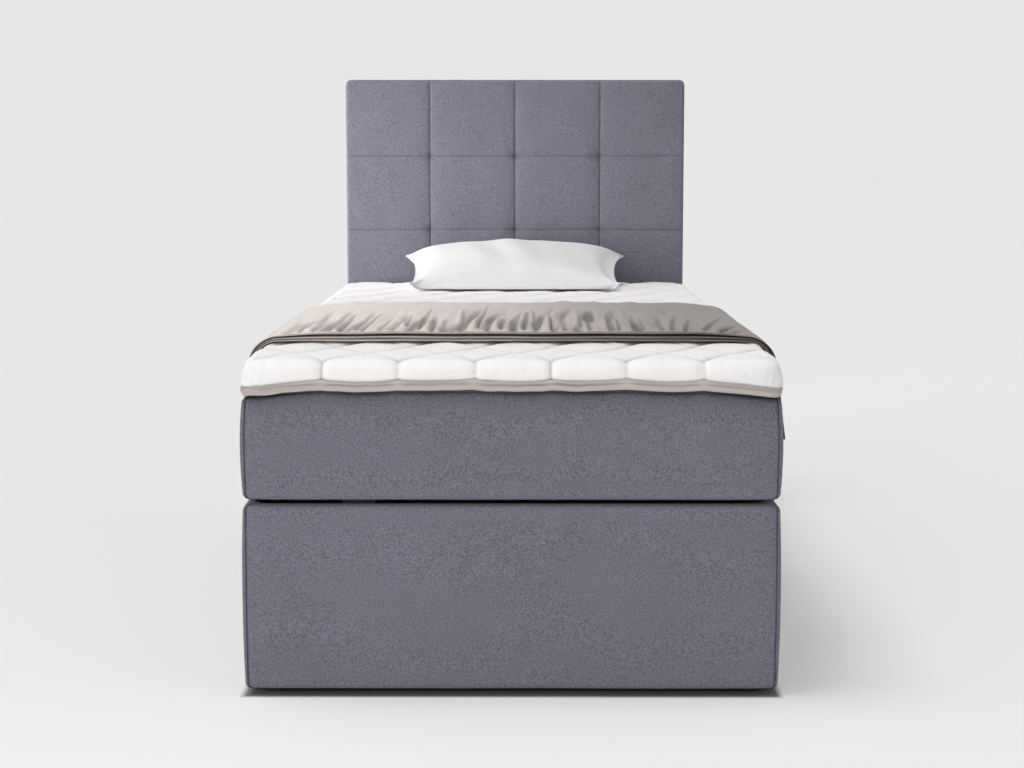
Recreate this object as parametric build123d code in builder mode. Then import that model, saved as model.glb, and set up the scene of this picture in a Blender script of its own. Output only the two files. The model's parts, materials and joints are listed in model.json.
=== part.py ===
from build123d import *
import os
from math import hypot

# Box spring bed for one person: a storage base, an upper box hinged along its left side,
# a quilted topper, a folded throw, a pillow and a tufted headboard.
# Millimetres. The origin is on the floor under the middle of the bed, +Y runs to the headboard.

# Driving sizes of the bed
bed_width = 900
bed_length = 2000
glide_height = 11
base_height = 313
lid_gap = 8
upper_height = 172
topper_height = 65
headboard_height = 1100
headboard_depth = 90
lid_head_clearance = 6

# Clearances and cuts
seat_clearance = 0.3
running_clearance = 0.05
cut_overrun = 5

# Upholstery of the two boxes
pad_thickness = 12
side_crown = 3
lower_wrap = 3
base_upper_wrap = 3
base_edge_round = 10
upper_lower_round = 13
upper_upper_round = 20
box_corner_round = 8
corner_seam_inset = 7
mattress_top_thickness = 8

# Boards of the base
board_thickness = 16
block_width = 48
block_height = 268
ledger_width = 20
ledger_height = 20
bearer_count = 3
bearer_width = 60
floor_thickness = 6
floor_strip_width = 30
floor_strip_lip = 2
floor_strip_web = 3

# Bolts
bolt_radius = 3
bolt_head_radius = 5
bolt_head_height = 4
bolt_bite = 10
side_bolt_shares = (0.25, 0.75)
end_bolt_shares = (0.12, 0.6)
headboard_bolt_radius = 4
headboard_bolt_head_radius = 9
headboard_bolt_head_height = 5
headboard_bolt_bite = 25
headboard_bolt_x = 220

# Glides and bumpers
glide_radius = 20
bumper_radius = 8
bumper_end_inset = 140
bumper_shares = (0, 0.5, 1)

# Side hinges
hinge_inset = 18
hinge_length = 120
hinge_end_inset = 30
hinge_count = 3
hinge_knuckle_count = 5
hinge_leaf = 1.5
hinge_leg = 38
hinge_lid_leaf_width = 30
hinge_pin_radius = 2

# Gas struts, their pivots measured from the hinge axis
strut_base_reach = 72
strut_base_drop = 178
strut_lid_reach = 177
strut_lid_drop = 16
strut_tube_radius = 9
strut_bore_radius = 7.2
strut_rod_radius = 4
strut_piston_length = 6
strut_gland_length = 7
strut_neck_radius = 5
strut_neck_length = 14
strut_bottom_wall = 4
strut_mouth_setback = 24
strut_eye_thickness = 10
strut_base_eye_radius = 9
strut_lid_eye_radius = 11
strut_stud_radius = 4
strut_lid_stud_radius = 3.5
strut_open_clearance = 3.1
strut_side_clearance = 1
stud_head_height = 2
stud_head_lip = 3
bracket_thickness = 3
bracket_half_width = 28
base_bracket_half_height = 30
lid_bracket_flange = 30

# Frame and filling of the upper box
rail_width = 45
rail_height = 28
slat_count = 9
slat_width = 60
slat_thickness = 12
underside_cloth_thickness = 1.5
felt_thickness = 4
comfort_thickness = 18
wall_thickness = 40
pocket_width = 90
pocket_gap = 0.5
pocket_stagger_share = 0.5
wire_radius = 2.5
wire_sides = 8
wire_bend_radius = 40

# Pull tab on the opening side
tab_width = 32
tab_thickness = 2.4
tab_inner_length = 24
tab_drop = 60

# Topper
topper_overhang = 4
topper_border_height = 36
topper_border_thickness = 14
topper_bottom_cloth = 3
topper_core_height = 44
topper_roll_round = 26
topper_border_round = 9
topper_border_crown = 2
topper_corner_round = 40
quilt_width = 130
quilt_length = 250
quilt_shift = 47.5
quilt_start = 24
channel_width = 24
channel_depth = 9
roll_channel_depth = 12

# Throw
throw_start = 280
throw_length = 715
throw_thickness = 20
throw_hem_height = 392
throw_flare = 14
throw_groove = 2.2
throw_groove_depth = 14
throw_layer_shares = (0.28, 0.62)
gather_spacing = 47
gather_count = 15
gather_radius = 13
gather_lift = 6
gather_lengths = (190, 260, 150, 300, 220)
gather_edge_inset = 56
side_fold_count = 4
side_fold_radius = 14
side_fold_lift = 8
side_fold_height = 120

# Pillow
pillow_width = 580
pillow_depth = 360
pillow_head_gap = 40
pillow_height = 117
pillow_front_tip = 24
pillow_rear_tip = 62
pillow_draw_in = 14
pillow_edge_thickness = 6
pillow_place_shares = (0, 0.35, 0.62, 0.82, 0.94, 1)
pillow_fullness_shares = (1, 0.97, 0.86, 0.66, 0.4, 0)

# Headboard
column_count = 4
row_heights = (202, 195, 195)
cushion_depth = 40
seam_pinch = 17
row_crown_setback = 0.5
lower_zone_run = 70
headboard_top_round = 12
headboard_front_board_thickness = 10
post_width = 60
back_board_thickness = 5
back_cover_thickness = 3
border_thickness = 6
headboard_rail_height = 60
headboard_rail_heights = (80, 230, 640)

# Places on the bed
half_width = bed_width / 2
foot_y = -(bed_length + headboard_depth) / 2
head_y = foot_y + bed_length
back_y = head_y + headboard_depth
base_top = glide_height + base_height
upper_bottom = base_top + lid_gap
upper_top = upper_bottom + upper_height
topper_top = upper_top + topper_height
upper_head_y = head_y - lid_head_clearance

# Boards of the base: outer and inner faces
board_x = half_width - pad_thickness
board_inner_x = board_x - board_thickness
board_foot_y = foot_y + pad_thickness
board_head_y = head_y - pad_thickness
foot_inner_y = board_foot_y + board_thickness
head_inner_y = board_head_y - board_thickness
board_z = (glide_height + lower_wrap, base_top - base_upper_wrap)
base_ends = ((foot_inner_y, 1), (head_inner_y, -1))
seam_x = half_width - corner_seam_inset

# Hinge axis and strut pivots
hinge_x = -(half_width - hinge_inset)
hinge_z = base_top + lid_gap / 2
knuckle_radius = lid_gap / 2 - seat_clearance
knuckle_length = hinge_length / hinge_knuckle_count
strut_base_pivot = (hinge_x + strut_base_reach, hinge_z - strut_base_drop)
strut_lid_pivot = (hinge_x + strut_lid_reach, hinge_z - strut_lid_drop)
strut_run = strut_lid_pivot[0] - strut_base_pivot[0]
strut_rise = strut_lid_pivot[1] - strut_base_pivot[1]
strut_length = hypot(strut_run, strut_rise)
strut_direction = (strut_run / strut_length, 0, strut_rise / strut_length)
strut_setback = bracket_thickness + strut_side_clearance + strut_tube_radius
strut_places = (foot_inner_y + strut_setback, head_inner_y - strut_setback)

os.makedirs("parts", exist_ok=True)


def fill_box(x_span, y_span, z_span, mode=Mode.ADD):
    """Add or cut a square block between two limits on each axis."""
    spans = (x_span, y_span, z_span)
    middle = [sum(span) / 2 for span in spans]
    size = [abs(span[1] - span[0]) for span in spans]
    with Locations(tuple(middle)):
        Box(*size, mode=mode)


def round_bar(start, direction, length, radius, mode=Mode.ADD):
    """Add or cut a cylinder that starts at a point and runs along a direction."""
    with BuildSketch(Plane(origin=start, z_dir=direction)) as section:
        Circle(radius)
    extrude(section.sketch, amount=length, mode=mode)


def cushion_outline(width, height, crown, lower_round, upper_round):
    """Outline on its foot: flat above and below, sides that bulge, rounded corners."""
    side = width / 2 - crown
    upper_start = height - upper_round
    with BuildLine() as outline:
        Line((0, 0), (side - lower_round, 0))
        TangentArc((side - lower_round, 0), (side, lower_round), tangent=(1, 0))
        if crown > 0:
            middle = (lower_round + upper_start) / 2
            ThreePointArc((side, lower_round), (width / 2, middle), (side, upper_start))
        else:
            Line((side, lower_round), (side, upper_start))
        TangentArc((side, upper_start), (side - upper_round, height), tangent=(0, 1))
        Line((side - upper_round, height), (0, height))
        mirror(about=Plane.YZ)
    make_face(outline.edges())


def padded_form(width, y_span, z_span, crown, lower_round, upper_round, corner_round):
    """Add a padded block whose four sides bulge by the crown and whose edges are rounded."""
    length = y_span[1] - y_span[0]
    height = z_span[1] - z_span[0]
    middle_y = sum(y_span) / 2
    across = Plane(origin=(0, y_span[0], z_span[0]), x_dir=(1, 0, 0), z_dir=(0, -1, 0))
    along = Plane(origin=(-width / 2, middle_y, z_span[0]), x_dir=(0, 1, 0), z_dir=(1, 0, 0))
    with BuildSketch(across) as cross_section:
        cushion_outline(width, height, crown, lower_round, upper_round)
    extrude(cross_section.sketch, amount=-length)
    with BuildSketch(along) as long_section:
        cushion_outline(length, height, crown, lower_round, upper_round)
    extrude(long_section.sketch, amount=width, mode=Mode.INTERSECT)
    with BuildSketch(Plane.XY.offset(z_span[0])) as plan:
        with Locations((0, middle_y)):
            RectangleRounded(width, length, corner_round)
    extrude(plan.sketch, amount=height, mode=Mode.INTERSECT)


def trim_to_end(outer_y, inward, z_span):
    """Keep the end cover of a padded skin: its face between the corner seams, and its wraps."""
    pad_y = outer_y + inward * pad_thickness
    rim_y = pad_y + inward * board_thickness
    far_y = outer_y - inward * cut_overrun
    fill_box((-seam_x, seam_x), (far_y, rim_y), z_span, mode=Mode.INTERSECT)
    for side in (-1, 1):
        fill_box((side * board_inner_x, side * half_width), (pad_y, rim_y), z_span, mode=Mode.SUBTRACT)


def trim_to_side(side, y_span, z_span):
    """Keep one side cover of a padded skin, with its returns round the corners."""
    fill_box((side * board_inner_x, side * (half_width + cut_overrun)), y_span, z_span, mode=Mode.INTERSECT)
    for outer_y, inward in ((y_span[0], 1), (y_span[1], -1)):
        seam = side * (seam_x + seat_clearance)
        pad_y = outer_y + inward * (pad_thickness + seat_clearance)
        fill_box((0, seam), (outer_y - inward * cut_overrun, pad_y), z_span, mode=Mode.SUBTRACT)


def corner_bolt_lines():
    """Start and direction of every bolt, from each corner block's inner faces outwards."""
    lines = []
    for side in (-1, 1):
        for face_y, inward in base_ends:
            block_x = side * (board_inner_x - block_width / 2)
            block_y = face_y + inward * block_width / 2
            for share in side_bolt_shares:
                start = (side * (board_inner_x - block_width), block_y, board_z[0] + share * block_height)
                lines.append((start, (side, 0, 0)))
            for share in end_bolt_shares:
                start = (block_x, face_y + inward * block_width, board_z[0] + share * block_height)
                lines.append((start, (0, -inward, 0)))
    return lines


def cut_corner_bolt_holes():
    """Cut the clearance holes of the corner bolts out of the piece in hand."""
    for start, direction in corner_bolt_lines():
        radius = bolt_radius + seat_clearance
        round_bar(start, direction, block_width + bolt_bite, radius, mode=Mode.SUBTRACT)


def headboard_bolt_starts():
    """Where the headboard bolts enter the inner face of the head panel."""
    heights = [low + headboard_rail_height / 2 for low in headboard_rail_heights[:2]]
    return [(x, head_inner_y, z) for x in (-headboard_bolt_x, headboard_bolt_x) for z in heights]


# Length of the headboard bolts under the head, into the headboard's rails
headboard_bolt_reach = (
    board_thickness + pad_thickness + cushion_depth + headboard_front_board_thickness + headboard_bolt_bite
)


def cut_headboard_bolt_holes():
    """Cut the clearance holes of the headboard bolts out of the piece in hand."""
    for start in headboard_bolt_starts():
        radius = headboard_bolt_radius + seat_clearance
        round_bar(start, (0, 1, 0), headboard_bolt_reach + seat_clearance, radius, mode=Mode.SUBTRACT)


# Storage base: boards, corner blocks and bolts
with BuildPart() as foot_panel:
    fill_box((-board_inner_x, board_inner_x), (board_foot_y, foot_inner_y), board_z)
    cut_corner_bolt_holes()
foot_panel.part.label = "foot_panel"
export_step(foot_panel.part, "parts/foot_panel.step")

with BuildPart() as head_panel:
    fill_box((-board_inner_x, board_inner_x), (head_inner_y, board_head_y), board_z)
    cut_corner_bolt_holes()
    cut_headboard_bolt_holes()
head_panel.part.label = "head_panel"
export_step(head_panel.part, "parts/head_panel.step")

with BuildPart() as left_side_panel:
    fill_box((-board_x, -board_inner_x), (board_foot_y, board_head_y), board_z)
    cut_corner_bolt_holes()
left_side_panel.part.label = "left_side_panel"
export_step(left_side_panel.part, "parts/left_side_panel.step")

with BuildPart() as right_side_panel:
    fill_box((board_inner_x, board_x), (board_foot_y, board_head_y), board_z)
    cut_corner_bolt_holes()
right_side_panel.part.label = "right_side_panel"
export_step(right_side_panel.part, "parts/right_side_panel.step")

with BuildPart() as corner_blocks:
    for side in (-1, 1):
        for face_y, inward in base_ends:
            x_span = (side * (board_inner_x - block_width), side * board_inner_x)
            y_span = (face_y, face_y + inward * block_width)
            fill_box(x_span, y_span, (board_z[0], board_z[0] + block_height))
    cut_corner_bolt_holes()
corner_blocks.part.label = "corner_blocks"
export_step(corner_blocks.part, "parts/corner_blocks.step")

with BuildPart() as corner_bolts:
    for start, direction in corner_bolt_lines():
        round_bar(start, direction, block_width + bolt_bite, bolt_radius)
        away = tuple(-part for part in direction)
        round_bar(start, away, bolt_head_height, bolt_head_radius)
corner_bolts.part.label = "corner_bolts"
export_step(corner_bolts.part, "parts/corner_bolts.step")

# Storage floor on ledgers and bearers
ledger_z = (board_z[0], board_z[0] + ledger_height)
floor_z = (ledger_z[1], ledger_z[1] + floor_thickness)
floor_middle_y = (foot_inner_y + head_inner_y) / 2
bearer_pitch = (head_inner_y - foot_inner_y) / (bearer_count + 1)

with BuildPart() as floor_ledgers:
    for side in (-1, 1):
        x_span = (side * (board_inner_x - ledger_width), side * board_inner_x)
        fill_box(x_span, (foot_inner_y + block_width, head_inner_y - block_width), ledger_z)
    for face_y, inward in base_ends:
        inner = board_inner_x - block_width
        fill_box((-inner, inner), (face_y, face_y + inward * ledger_width), ledger_z)
floor_ledgers.part.label = "floor_ledgers"
export_step(floor_ledgers.part, "parts/floor_ledgers.step")

with BuildPart() as floor_bearers:
    with Locations((0, floor_middle_y, ledger_z[0] + ledger_height / 2)):
        with GridLocations(0, bearer_pitch, 1, bearer_count):
            Box(2 * (board_inner_x - ledger_width), bearer_width, ledger_height)
floor_bearers.part.label = "floor_bearers"
export_step(floor_bearers.part, "parts/floor_bearers.step")


def floor_panel(inner_y, outer_y, inward):
    """Add one half of the storage floor, notched round the two corner blocks."""
    fill_box((-board_inner_x, board_inner_x), (outer_y, inner_y), floor_z)
    for side in (-1, 1):
        x_span = (side * (board_inner_x - block_width), side * (board_inner_x + cut_overrun))
        y_span = (outer_y - inward * cut_overrun, outer_y + inward * block_width)
        fill_box(x_span, y_span, floor_z, mode=Mode.SUBTRACT)


with BuildPart() as storage_floor_foot:
    floor_panel(floor_middle_y - floor_strip_web / 2, foot_inner_y, 1)
storage_floor_foot.part.label = "storage_floor_foot"
export_step(storage_floor_foot.part, "parts/storage_floor_foot.step")

with BuildPart() as storage_floor_head:
    floor_panel(floor_middle_y + floor_strip_web / 2, head_inner_y, -1)
storage_floor_head.part.label = "storage_floor_head"
export_step(storage_floor_head.part, "parts/storage_floor_head.step")

# T-shaped strip: its web stands between the floor halves, its cap lies on both
with BuildPart() as floor_joint_strip:
    web_y = (floor_middle_y - floor_strip_web / 2, floor_middle_y + floor_strip_web / 2)
    cap_y = (floor_middle_y - floor_strip_width / 2, floor_middle_y + floor_strip_width / 2)
    fill_box((-board_inner_x, board_inner_x), web_y, floor_z)
    fill_box((-board_inner_x, board_inner_x), cap_y, (floor_z[1], floor_z[1] + floor_strip_lip))
floor_joint_strip.part.label = "floor_joint_strip"
export_step(floor_joint_strip.part, "parts/floor_joint_strip.step")

# Glides under the corner blocks and the ends of the middle bearer
with BuildPart() as glides:
    for side in (-1, 1):
        for face_y, inward in base_ends:
            place = (side * (board_inner_x - block_width / 2), face_y + inward * block_width / 2, 0)
            round_bar(place, (0, 0, 1), board_z[0], glide_radius)
        place = (side * (board_inner_x - ledger_width - bearer_width / 2), floor_middle_y, 0)
        round_bar(place, (0, 0, 1), board_z[0], glide_radius)
glides.part.label = "glides"
export_step(glides.part, "parts/glides.step")

# Rest bumpers along the opening side of the rim
with BuildPart() as rest_bumpers:
    first_y = foot_y + bumper_end_inset
    reach_y = bed_length - 2 * bumper_end_inset
    for share in bumper_shares:
        place = (board_x - board_thickness / 2, first_y + share * reach_y, base_top)
        round_bar(place, (0, 0, 1), lid_gap - seat_clearance, bumper_radius)
rest_bumpers.part.label = "rest_bumpers"
export_step(rest_bumpers.part, "parts/rest_bumpers.step")

# Padded covers of the base, wrapped round the upper and lower edges of the boards
base_y = (foot_y, head_y)
base_z = (glide_height, base_top)
base_trim_z = (0, base_top + cut_overrun)


def base_skin():
    """Add the whole padded skin of the base, before it is parted at its seams."""
    padded_form(bed_width, base_y, base_z, side_crown, base_edge_round, base_edge_round, box_corner_round)
    fill_box((-board_x, board_x), (board_foot_y, board_head_y), board_z, mode=Mode.SUBTRACT)
    inner_x = (-board_inner_x, board_inner_x)
    fill_box(inner_x, (foot_inner_y, head_inner_y), base_trim_z, mode=Mode.SUBTRACT)


with BuildPart() as base_foot_cover:
    base_skin()
    trim_to_end(foot_y, 1, base_trim_z)
base_foot_cover.part.label = "base_foot_cover"
export_step(base_foot_cover.part, "parts/base_foot_cover.step")

with BuildPart() as base_head_cover:
    base_skin()
    trim_to_end(head_y, -1, base_trim_z)
    cut_headboard_bolt_holes()
base_head_cover.part.label = "base_head_cover"
export_step(base_head_cover.part, "parts/base_head_cover.step")

with BuildPart() as base_left_cover:
    base_skin()
    trim_to_side(-1, base_y, base_trim_z)
base_left_cover.part.label = "base_left_cover"
export_step(base_left_cover.part, "parts/base_left_cover.step")

with BuildPart() as base_right_cover:
    base_skin()
    trim_to_side(1, base_y, base_trim_z)
base_right_cover.part.label = "base_right_cover"
export_step(base_right_cover.part, "parts/base_right_cover.step")

# Side hinges: the knuckles alternate between the base leaf and the lid leaf
hinge_first_y = foot_y + hinge_end_inset
hinge_pitch = (upper_head_y - hinge_end_inset - hinge_length - hinge_first_y) / (hinge_count - 1)
hinge_starts = [hinge_first_y + number * hinge_pitch for number in range(hinge_count)]
leaf_start_x = hinge_x + knuckle_radius + seat_clearance


def hinge_knuckles(start_y, first, link_z):
    """Add every second knuckle of one hinge and the link from each to its leaf."""
    for number in range(first, hinge_knuckle_count, 2):
        low_y = start_y + number * knuckle_length + running_clearance
        high_y = low_y + knuckle_length - 2 * running_clearance
        round_bar((hinge_x, low_y, hinge_z), (0, 1, 0), high_y - low_y, knuckle_radius)
        fill_box((hinge_x, leaf_start_x), (low_y, high_y), link_z)


def cut_pin_bore(start_y):
    """Cut the bore of the hinge pin through the knuckles."""
    start = (hinge_x, start_y - cut_overrun, hinge_z)
    length = hinge_length + 2 * cut_overrun
    round_bar(start, (0, 1, 0), length, hinge_pin_radius + running_clearance, mode=Mode.SUBTRACT)


with BuildPart() as hinge_base_leaves:
    leaf_z = (base_top, base_top + hinge_leaf)
    leg_x = (-board_inner_x, -board_inner_x + hinge_leaf)
    for start_y in hinge_starts:
        y_span = (start_y, start_y + hinge_length)
        fill_box((leaf_start_x, leg_x[1]), y_span, leaf_z)
        fill_box(leg_x, y_span, (base_top - hinge_leg, leaf_z[1]))
        hinge_knuckles(start_y, 0, leaf_z)
        cut_pin_bore(start_y)
hinge_base_leaves.part.label = "hinge_base_leaves"
export_step(hinge_base_leaves.part, "parts/hinge_base_leaves.step")

with BuildPart() as hinge_lid_leaves:
    leaf_z = (upper_bottom - hinge_leaf, upper_bottom)
    for start_y in hinge_starts:
        fill_box((leaf_start_x, hinge_x + hinge_lid_leaf_width), (start_y, start_y + hinge_length), leaf_z)
        hinge_knuckles(start_y, 1, leaf_z)
        cut_pin_bore(start_y)
hinge_lid_leaves.part.label = "hinge_lid_leaves"
export_step(hinge_lid_leaves.part, "parts/hinge_lid_leaves.step")

with BuildPart() as hinge_pins:
    for start_y in hinge_starts:
        round_bar((hinge_x, start_y, hinge_z), (0, 1, 0), hinge_length, hinge_pin_radius)
hinge_pins.part.label = "hinge_pins"
export_step(hinge_pins.part, "parts/hinge_pins.step")


# Gas struts and their brackets
def pivot_stud(pivot, plate_y, inward, radius):
    """Add a shouldered stud that stands on a plate, passes the strut's eye and ends in a head."""
    eye_half = strut_eye_thickness / 2 + strut_side_clearance
    shoulder = strut_setback - bracket_thickness - eye_half
    start = (pivot[0], plate_y, pivot[1])
    round_bar(start, (0, inward, 0), shoulder, radius + stud_head_lip)
    round_bar(start, (0, inward, 0), shoulder + 2 * eye_half + stud_head_height, radius)
    head = (pivot[0], plate_y + inward * (shoulder + 2 * eye_half), pivot[1])
    round_bar(head, (0, inward, 0), stud_head_height, radius + stud_head_lip)


with BuildPart() as strut_base_brackets:
    for face_y, inward in base_ends:
        plate_y = face_y + inward * bracket_thickness
        x_span = (strut_base_pivot[0] - strut_base_eye_radius, strut_base_pivot[0] + bracket_half_width)
        z_middle = strut_base_pivot[1]
        z_span = (z_middle - base_bracket_half_height, z_middle + base_bracket_half_height)
        fill_box(x_span, (face_y, plate_y), z_span)
        pivot_stud(strut_base_pivot, plate_y, inward, strut_stud_radius)
strut_base_brackets.part.label = "strut_base_brackets"
export_step(strut_base_brackets.part, "parts/strut_base_brackets.step")

# Angle brackets under the upper box: a flange against the rail, a cheek that drops to the stud
with BuildPart() as strut_lid_brackets:
    for face_y, inward in base_ends:
        cheek_y = (face_y + inward * seat_clearance, face_y + inward * bracket_thickness)
        x_span = (strut_lid_pivot[0] - bracket_half_width, strut_lid_pivot[0] + bracket_half_width)
        z_low = strut_lid_pivot[1] - strut_lid_stud_radius - stud_head_lip
        fill_box(x_span, cheek_y, (z_low, upper_bottom))
        flange_y = (cheek_y[0], cheek_y[0] + inward * lid_bracket_flange)
        fill_box(x_span, flange_y, (upper_bottom - bracket_thickness, upper_bottom))
        pivot_stud(strut_lid_pivot, cheek_y[1], inward, strut_lid_stud_radius)
strut_lid_brackets.part.label = "strut_lid_brackets"
export_step(strut_lid_brackets.part, "parts/strut_lid_brackets.step")


def along_strut(place_y, distance):
    """The point on a strut's axis at a distance from its base pivot."""
    x = strut_base_pivot[0] + distance * strut_direction[0]
    z = strut_base_pivot[1] + distance * strut_direction[2]
    return (x, place_y, z)


strut_mouth = strut_length - strut_mouth_setback
strut_floor = strut_neck_length + strut_bottom_wall


def strut_cylinder(place_y):
    """Add a strut's cylinder: eye, neck, tube with a piston bore, and the rod's gland."""
    eye_start = (strut_base_pivot[0], place_y - strut_eye_thickness / 2, strut_base_pivot[1])
    round_bar(eye_start, (0, 1, 0), strut_eye_thickness, strut_base_eye_radius)
    neck_start = along_strut(place_y, 0)
    round_bar(neck_start, strut_direction, strut_neck_length + strut_bottom_wall, strut_neck_radius)
    tube_start = along_strut(place_y, strut_neck_length)
    round_bar(tube_start, strut_direction, strut_mouth - strut_neck_length, strut_tube_radius)
    bore_length = strut_mouth - strut_gland_length - strut_floor
    bore_start = along_strut(place_y, strut_floor)
    round_bar(bore_start, strut_direction, bore_length, strut_bore_radius, mode=Mode.SUBTRACT)
    gland_start = along_strut(place_y, strut_floor + bore_length / 2)
    gland_run = bore_length / 2 + strut_gland_length + cut_overrun
    rod_hole = strut_rod_radius + running_clearance
    round_bar(gland_start, strut_direction, gland_run, rod_hole, mode=Mode.SUBTRACT)
    hole_start = (eye_start[0], eye_start[1] - cut_overrun, eye_start[2])
    hole_run = strut_eye_thickness + 2 * cut_overrun
    round_bar(hole_start, (0, 1, 0), hole_run, strut_stud_radius + running_clearance, mode=Mode.SUBTRACT)


def strut_rod(place_y):
    """Add a strut's rod with its piston and the roomy eye at the upper end."""
    rod_start = along_strut(place_y, strut_floor + strut_side_clearance)
    rod_run = strut_length - strut_floor - strut_side_clearance
    round_bar(rod_start, strut_direction, rod_run, strut_rod_radius)
    round_bar(rod_start, strut_direction, strut_piston_length, strut_bore_radius - running_clearance)
    eye_start = (strut_lid_pivot[0], place_y - strut_eye_thickness / 2, strut_lid_pivot[1])
    round_bar(eye_start, (0, 1, 0), strut_eye_thickness, strut_lid_eye_radius)
    hole_start = (eye_start[0], eye_start[1] - cut_overrun, eye_start[2])
    hole_run = strut_eye_thickness + 2 * cut_overrun
    hole_radius = strut_lid_stud_radius + strut_open_clearance
    round_bar(hole_start, (0, 1, 0), hole_run, hole_radius, mode=Mode.SUBTRACT)


with BuildPart() as foot_strut_cylinder:
    strut_cylinder(strut_places[0])
foot_strut_cylinder.part.label = "foot_strut_cylinder"
export_step(foot_strut_cylinder.part, "parts/foot_strut_cylinder.step")

with BuildPart() as head_strut_cylinder:
    strut_cylinder(strut_places[1])
head_strut_cylinder.part.label = "head_strut_cylinder"
export_step(head_strut_cylinder.part, "parts/head_strut_cylinder.step")

with BuildPart() as foot_strut_rod:
    strut_rod(strut_places[0])
foot_strut_rod.part.label = "foot_strut_rod"
export_step(foot_strut_rod.part, "parts/foot_strut_rod.step")

with BuildPart() as head_strut_rod:
    strut_rod(strut_places[1])
head_strut_rod.part.label = "head_strut_rod"
export_step(head_strut_rod.part, "parts/head_strut_rod.step")

# Frame of the upper box
frame_head_y = upper_head_y - pad_thickness
rail_z = (upper_bottom + lower_wrap, upper_bottom + lower_wrap + rail_height)
rail_inner_x = board_x - rail_width

with BuildPart() as frame_left_rail:
    fill_box((-board_x, -rail_inner_x), (board_foot_y, frame_head_y), rail_z)
frame_left_rail.part.label = "frame_left_rail"
export_step(frame_left_rail.part, "parts/frame_left_rail.step")

with BuildPart() as frame_right_rail:
    fill_box((rail_inner_x, board_x), (board_foot_y, frame_head_y), rail_z)
frame_right_rail.part.label = "frame_right_rail"
export_step(frame_right_rail.part, "parts/frame_right_rail.step")

with BuildPart() as frame_foot_rail:
    fill_box((-rail_inner_x, rail_inner_x), (board_foot_y, board_foot_y + rail_width), rail_z)
frame_foot_rail.part.label = "frame_foot_rail"
export_step(frame_foot_rail.part, "parts/frame_foot_rail.step")

with BuildPart() as frame_head_rail:
    fill_box((-rail_inner_x, rail_inner_x), (frame_head_y - rail_width, frame_head_y), rail_z)
frame_head_rail.part.label = "frame_head_rail"
export_step(frame_head_rail.part, "parts/frame_head_rail.step")

slat_z = (rail_z[1], rail_z[1] + slat_thickness)
slat_pitch = (frame_head_y - board_foot_y - slat_width) / (slat_count - 1)
frame_middle_y = (board_foot_y + frame_head_y) / 2

with BuildPart() as frame_slats:
    with Locations((0, frame_middle_y, sum(slat_z) / 2)):
        with GridLocations(0, slat_pitch, 1, slat_count):
            Box(2 * board_x, slat_width, slat_thickness)
frame_slats.part.label = "frame_slats"
export_step(frame_slats.part, "parts/frame_slats.step")

with BuildPart() as underside_cloth:
    cloth_x = board_inner_x - seat_clearance
    cloth_y = (foot_inner_y + seat_clearance, frame_head_y - board_thickness - seat_clearance)
    fill_box((-cloth_x, cloth_x), cloth_y, (rail_z[0] - underside_cloth_thickness, rail_z[0]))
underside_cloth.part.label = "underside_cloth"
export_step(underside_cloth.part, "parts/underside_cloth.step")

# Filling of the upper box, from the slats upwards
filling_y = (board_foot_y, frame_head_y)
lower_felt_z = (slat_z[1], slat_z[1] + felt_thickness)
comfort_top = upper_top - mattress_top_thickness
upper_felt_z = (comfort_top - comfort_thickness - felt_thickness, comfort_top - comfort_thickness)
spring_z = (lower_felt_z[1], upper_felt_z[0])

with BuildPart() as lower_felt:
    fill_box((-board_x, board_x), filling_y, lower_felt_z)
lower_felt.part.label = "lower_felt"
export_step(lower_felt.part, "parts/lower_felt.step")

with BuildPart() as upper_felt:
    fill_box((-board_x, board_x), filling_y, upper_felt_z)
upper_felt.part.label = "upper_felt"
export_step(upper_felt.part, "parts/upper_felt.step")

with BuildPart() as comfort_foam:
    fill_box((-board_x, board_x), filling_y, (upper_felt_z[1], comfort_top))
comfort_foam.part.label = "comfort_foam"
export_step(comfort_foam.part, "parts/comfort_foam.step")

# Edge foam: side walls along the whole length, end walls between them
wall_inner_x = board_x - wall_thickness

with BuildPart() as foam_walls:
    for side in (-1, 1):
        fill_box((side * wall_inner_x, side * board_x), filling_y, spring_z)
    for outer_y, inward in ((filling_y[0], 1), (filling_y[1], -1)):
        y_span = (outer_y, outer_y + inward * wall_thickness)
        inner = wall_inner_x - seat_clearance
        fill_box((-inner, inner), y_span, spring_z)
foam_walls.part.label = "foam_walls"
export_step(foam_walls.part, "parts/foam_walls.step")

# Strings of pocketed springs that nest like a honeycomb
pocket_radius = pocket_width / 3**0.5
string_spacing = pocket_radius * 3 / 2 + pocket_gap
core_half_width = wall_inner_x - 2 * wire_radius - 2 * seat_clearance
core_length = filling_y[1] - filling_y[0] - 2 * (wall_thickness + 2 * wire_radius + 2 * seat_clearance)
string_count = 2 * int((core_half_width - pocket_radius) / string_spacing) + 1
pocket_count = int(core_length / pocket_width - pocket_stagger_share)

with BuildPart() as spring_core:
    for number in range(string_count):
        string_x = (number - (string_count - 1) / 2) * string_spacing
        stagger = pocket_width * pocket_stagger_share / 2
        stagger = stagger if number % 2 else -stagger
        with BuildSketch(Plane.XY.offset(spring_z[0])):
            with Locations((string_x, frame_middle_y + stagger)):
                with GridLocations(0, pocket_width, 1, pocket_count):
                    RegularPolygon(pocket_radius, 6)
        extrude(amount=spring_z[1] - spring_z[0])
spring_core.part.label = "spring_core"
export_step(spring_core.part, "parts/spring_core.step")

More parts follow.
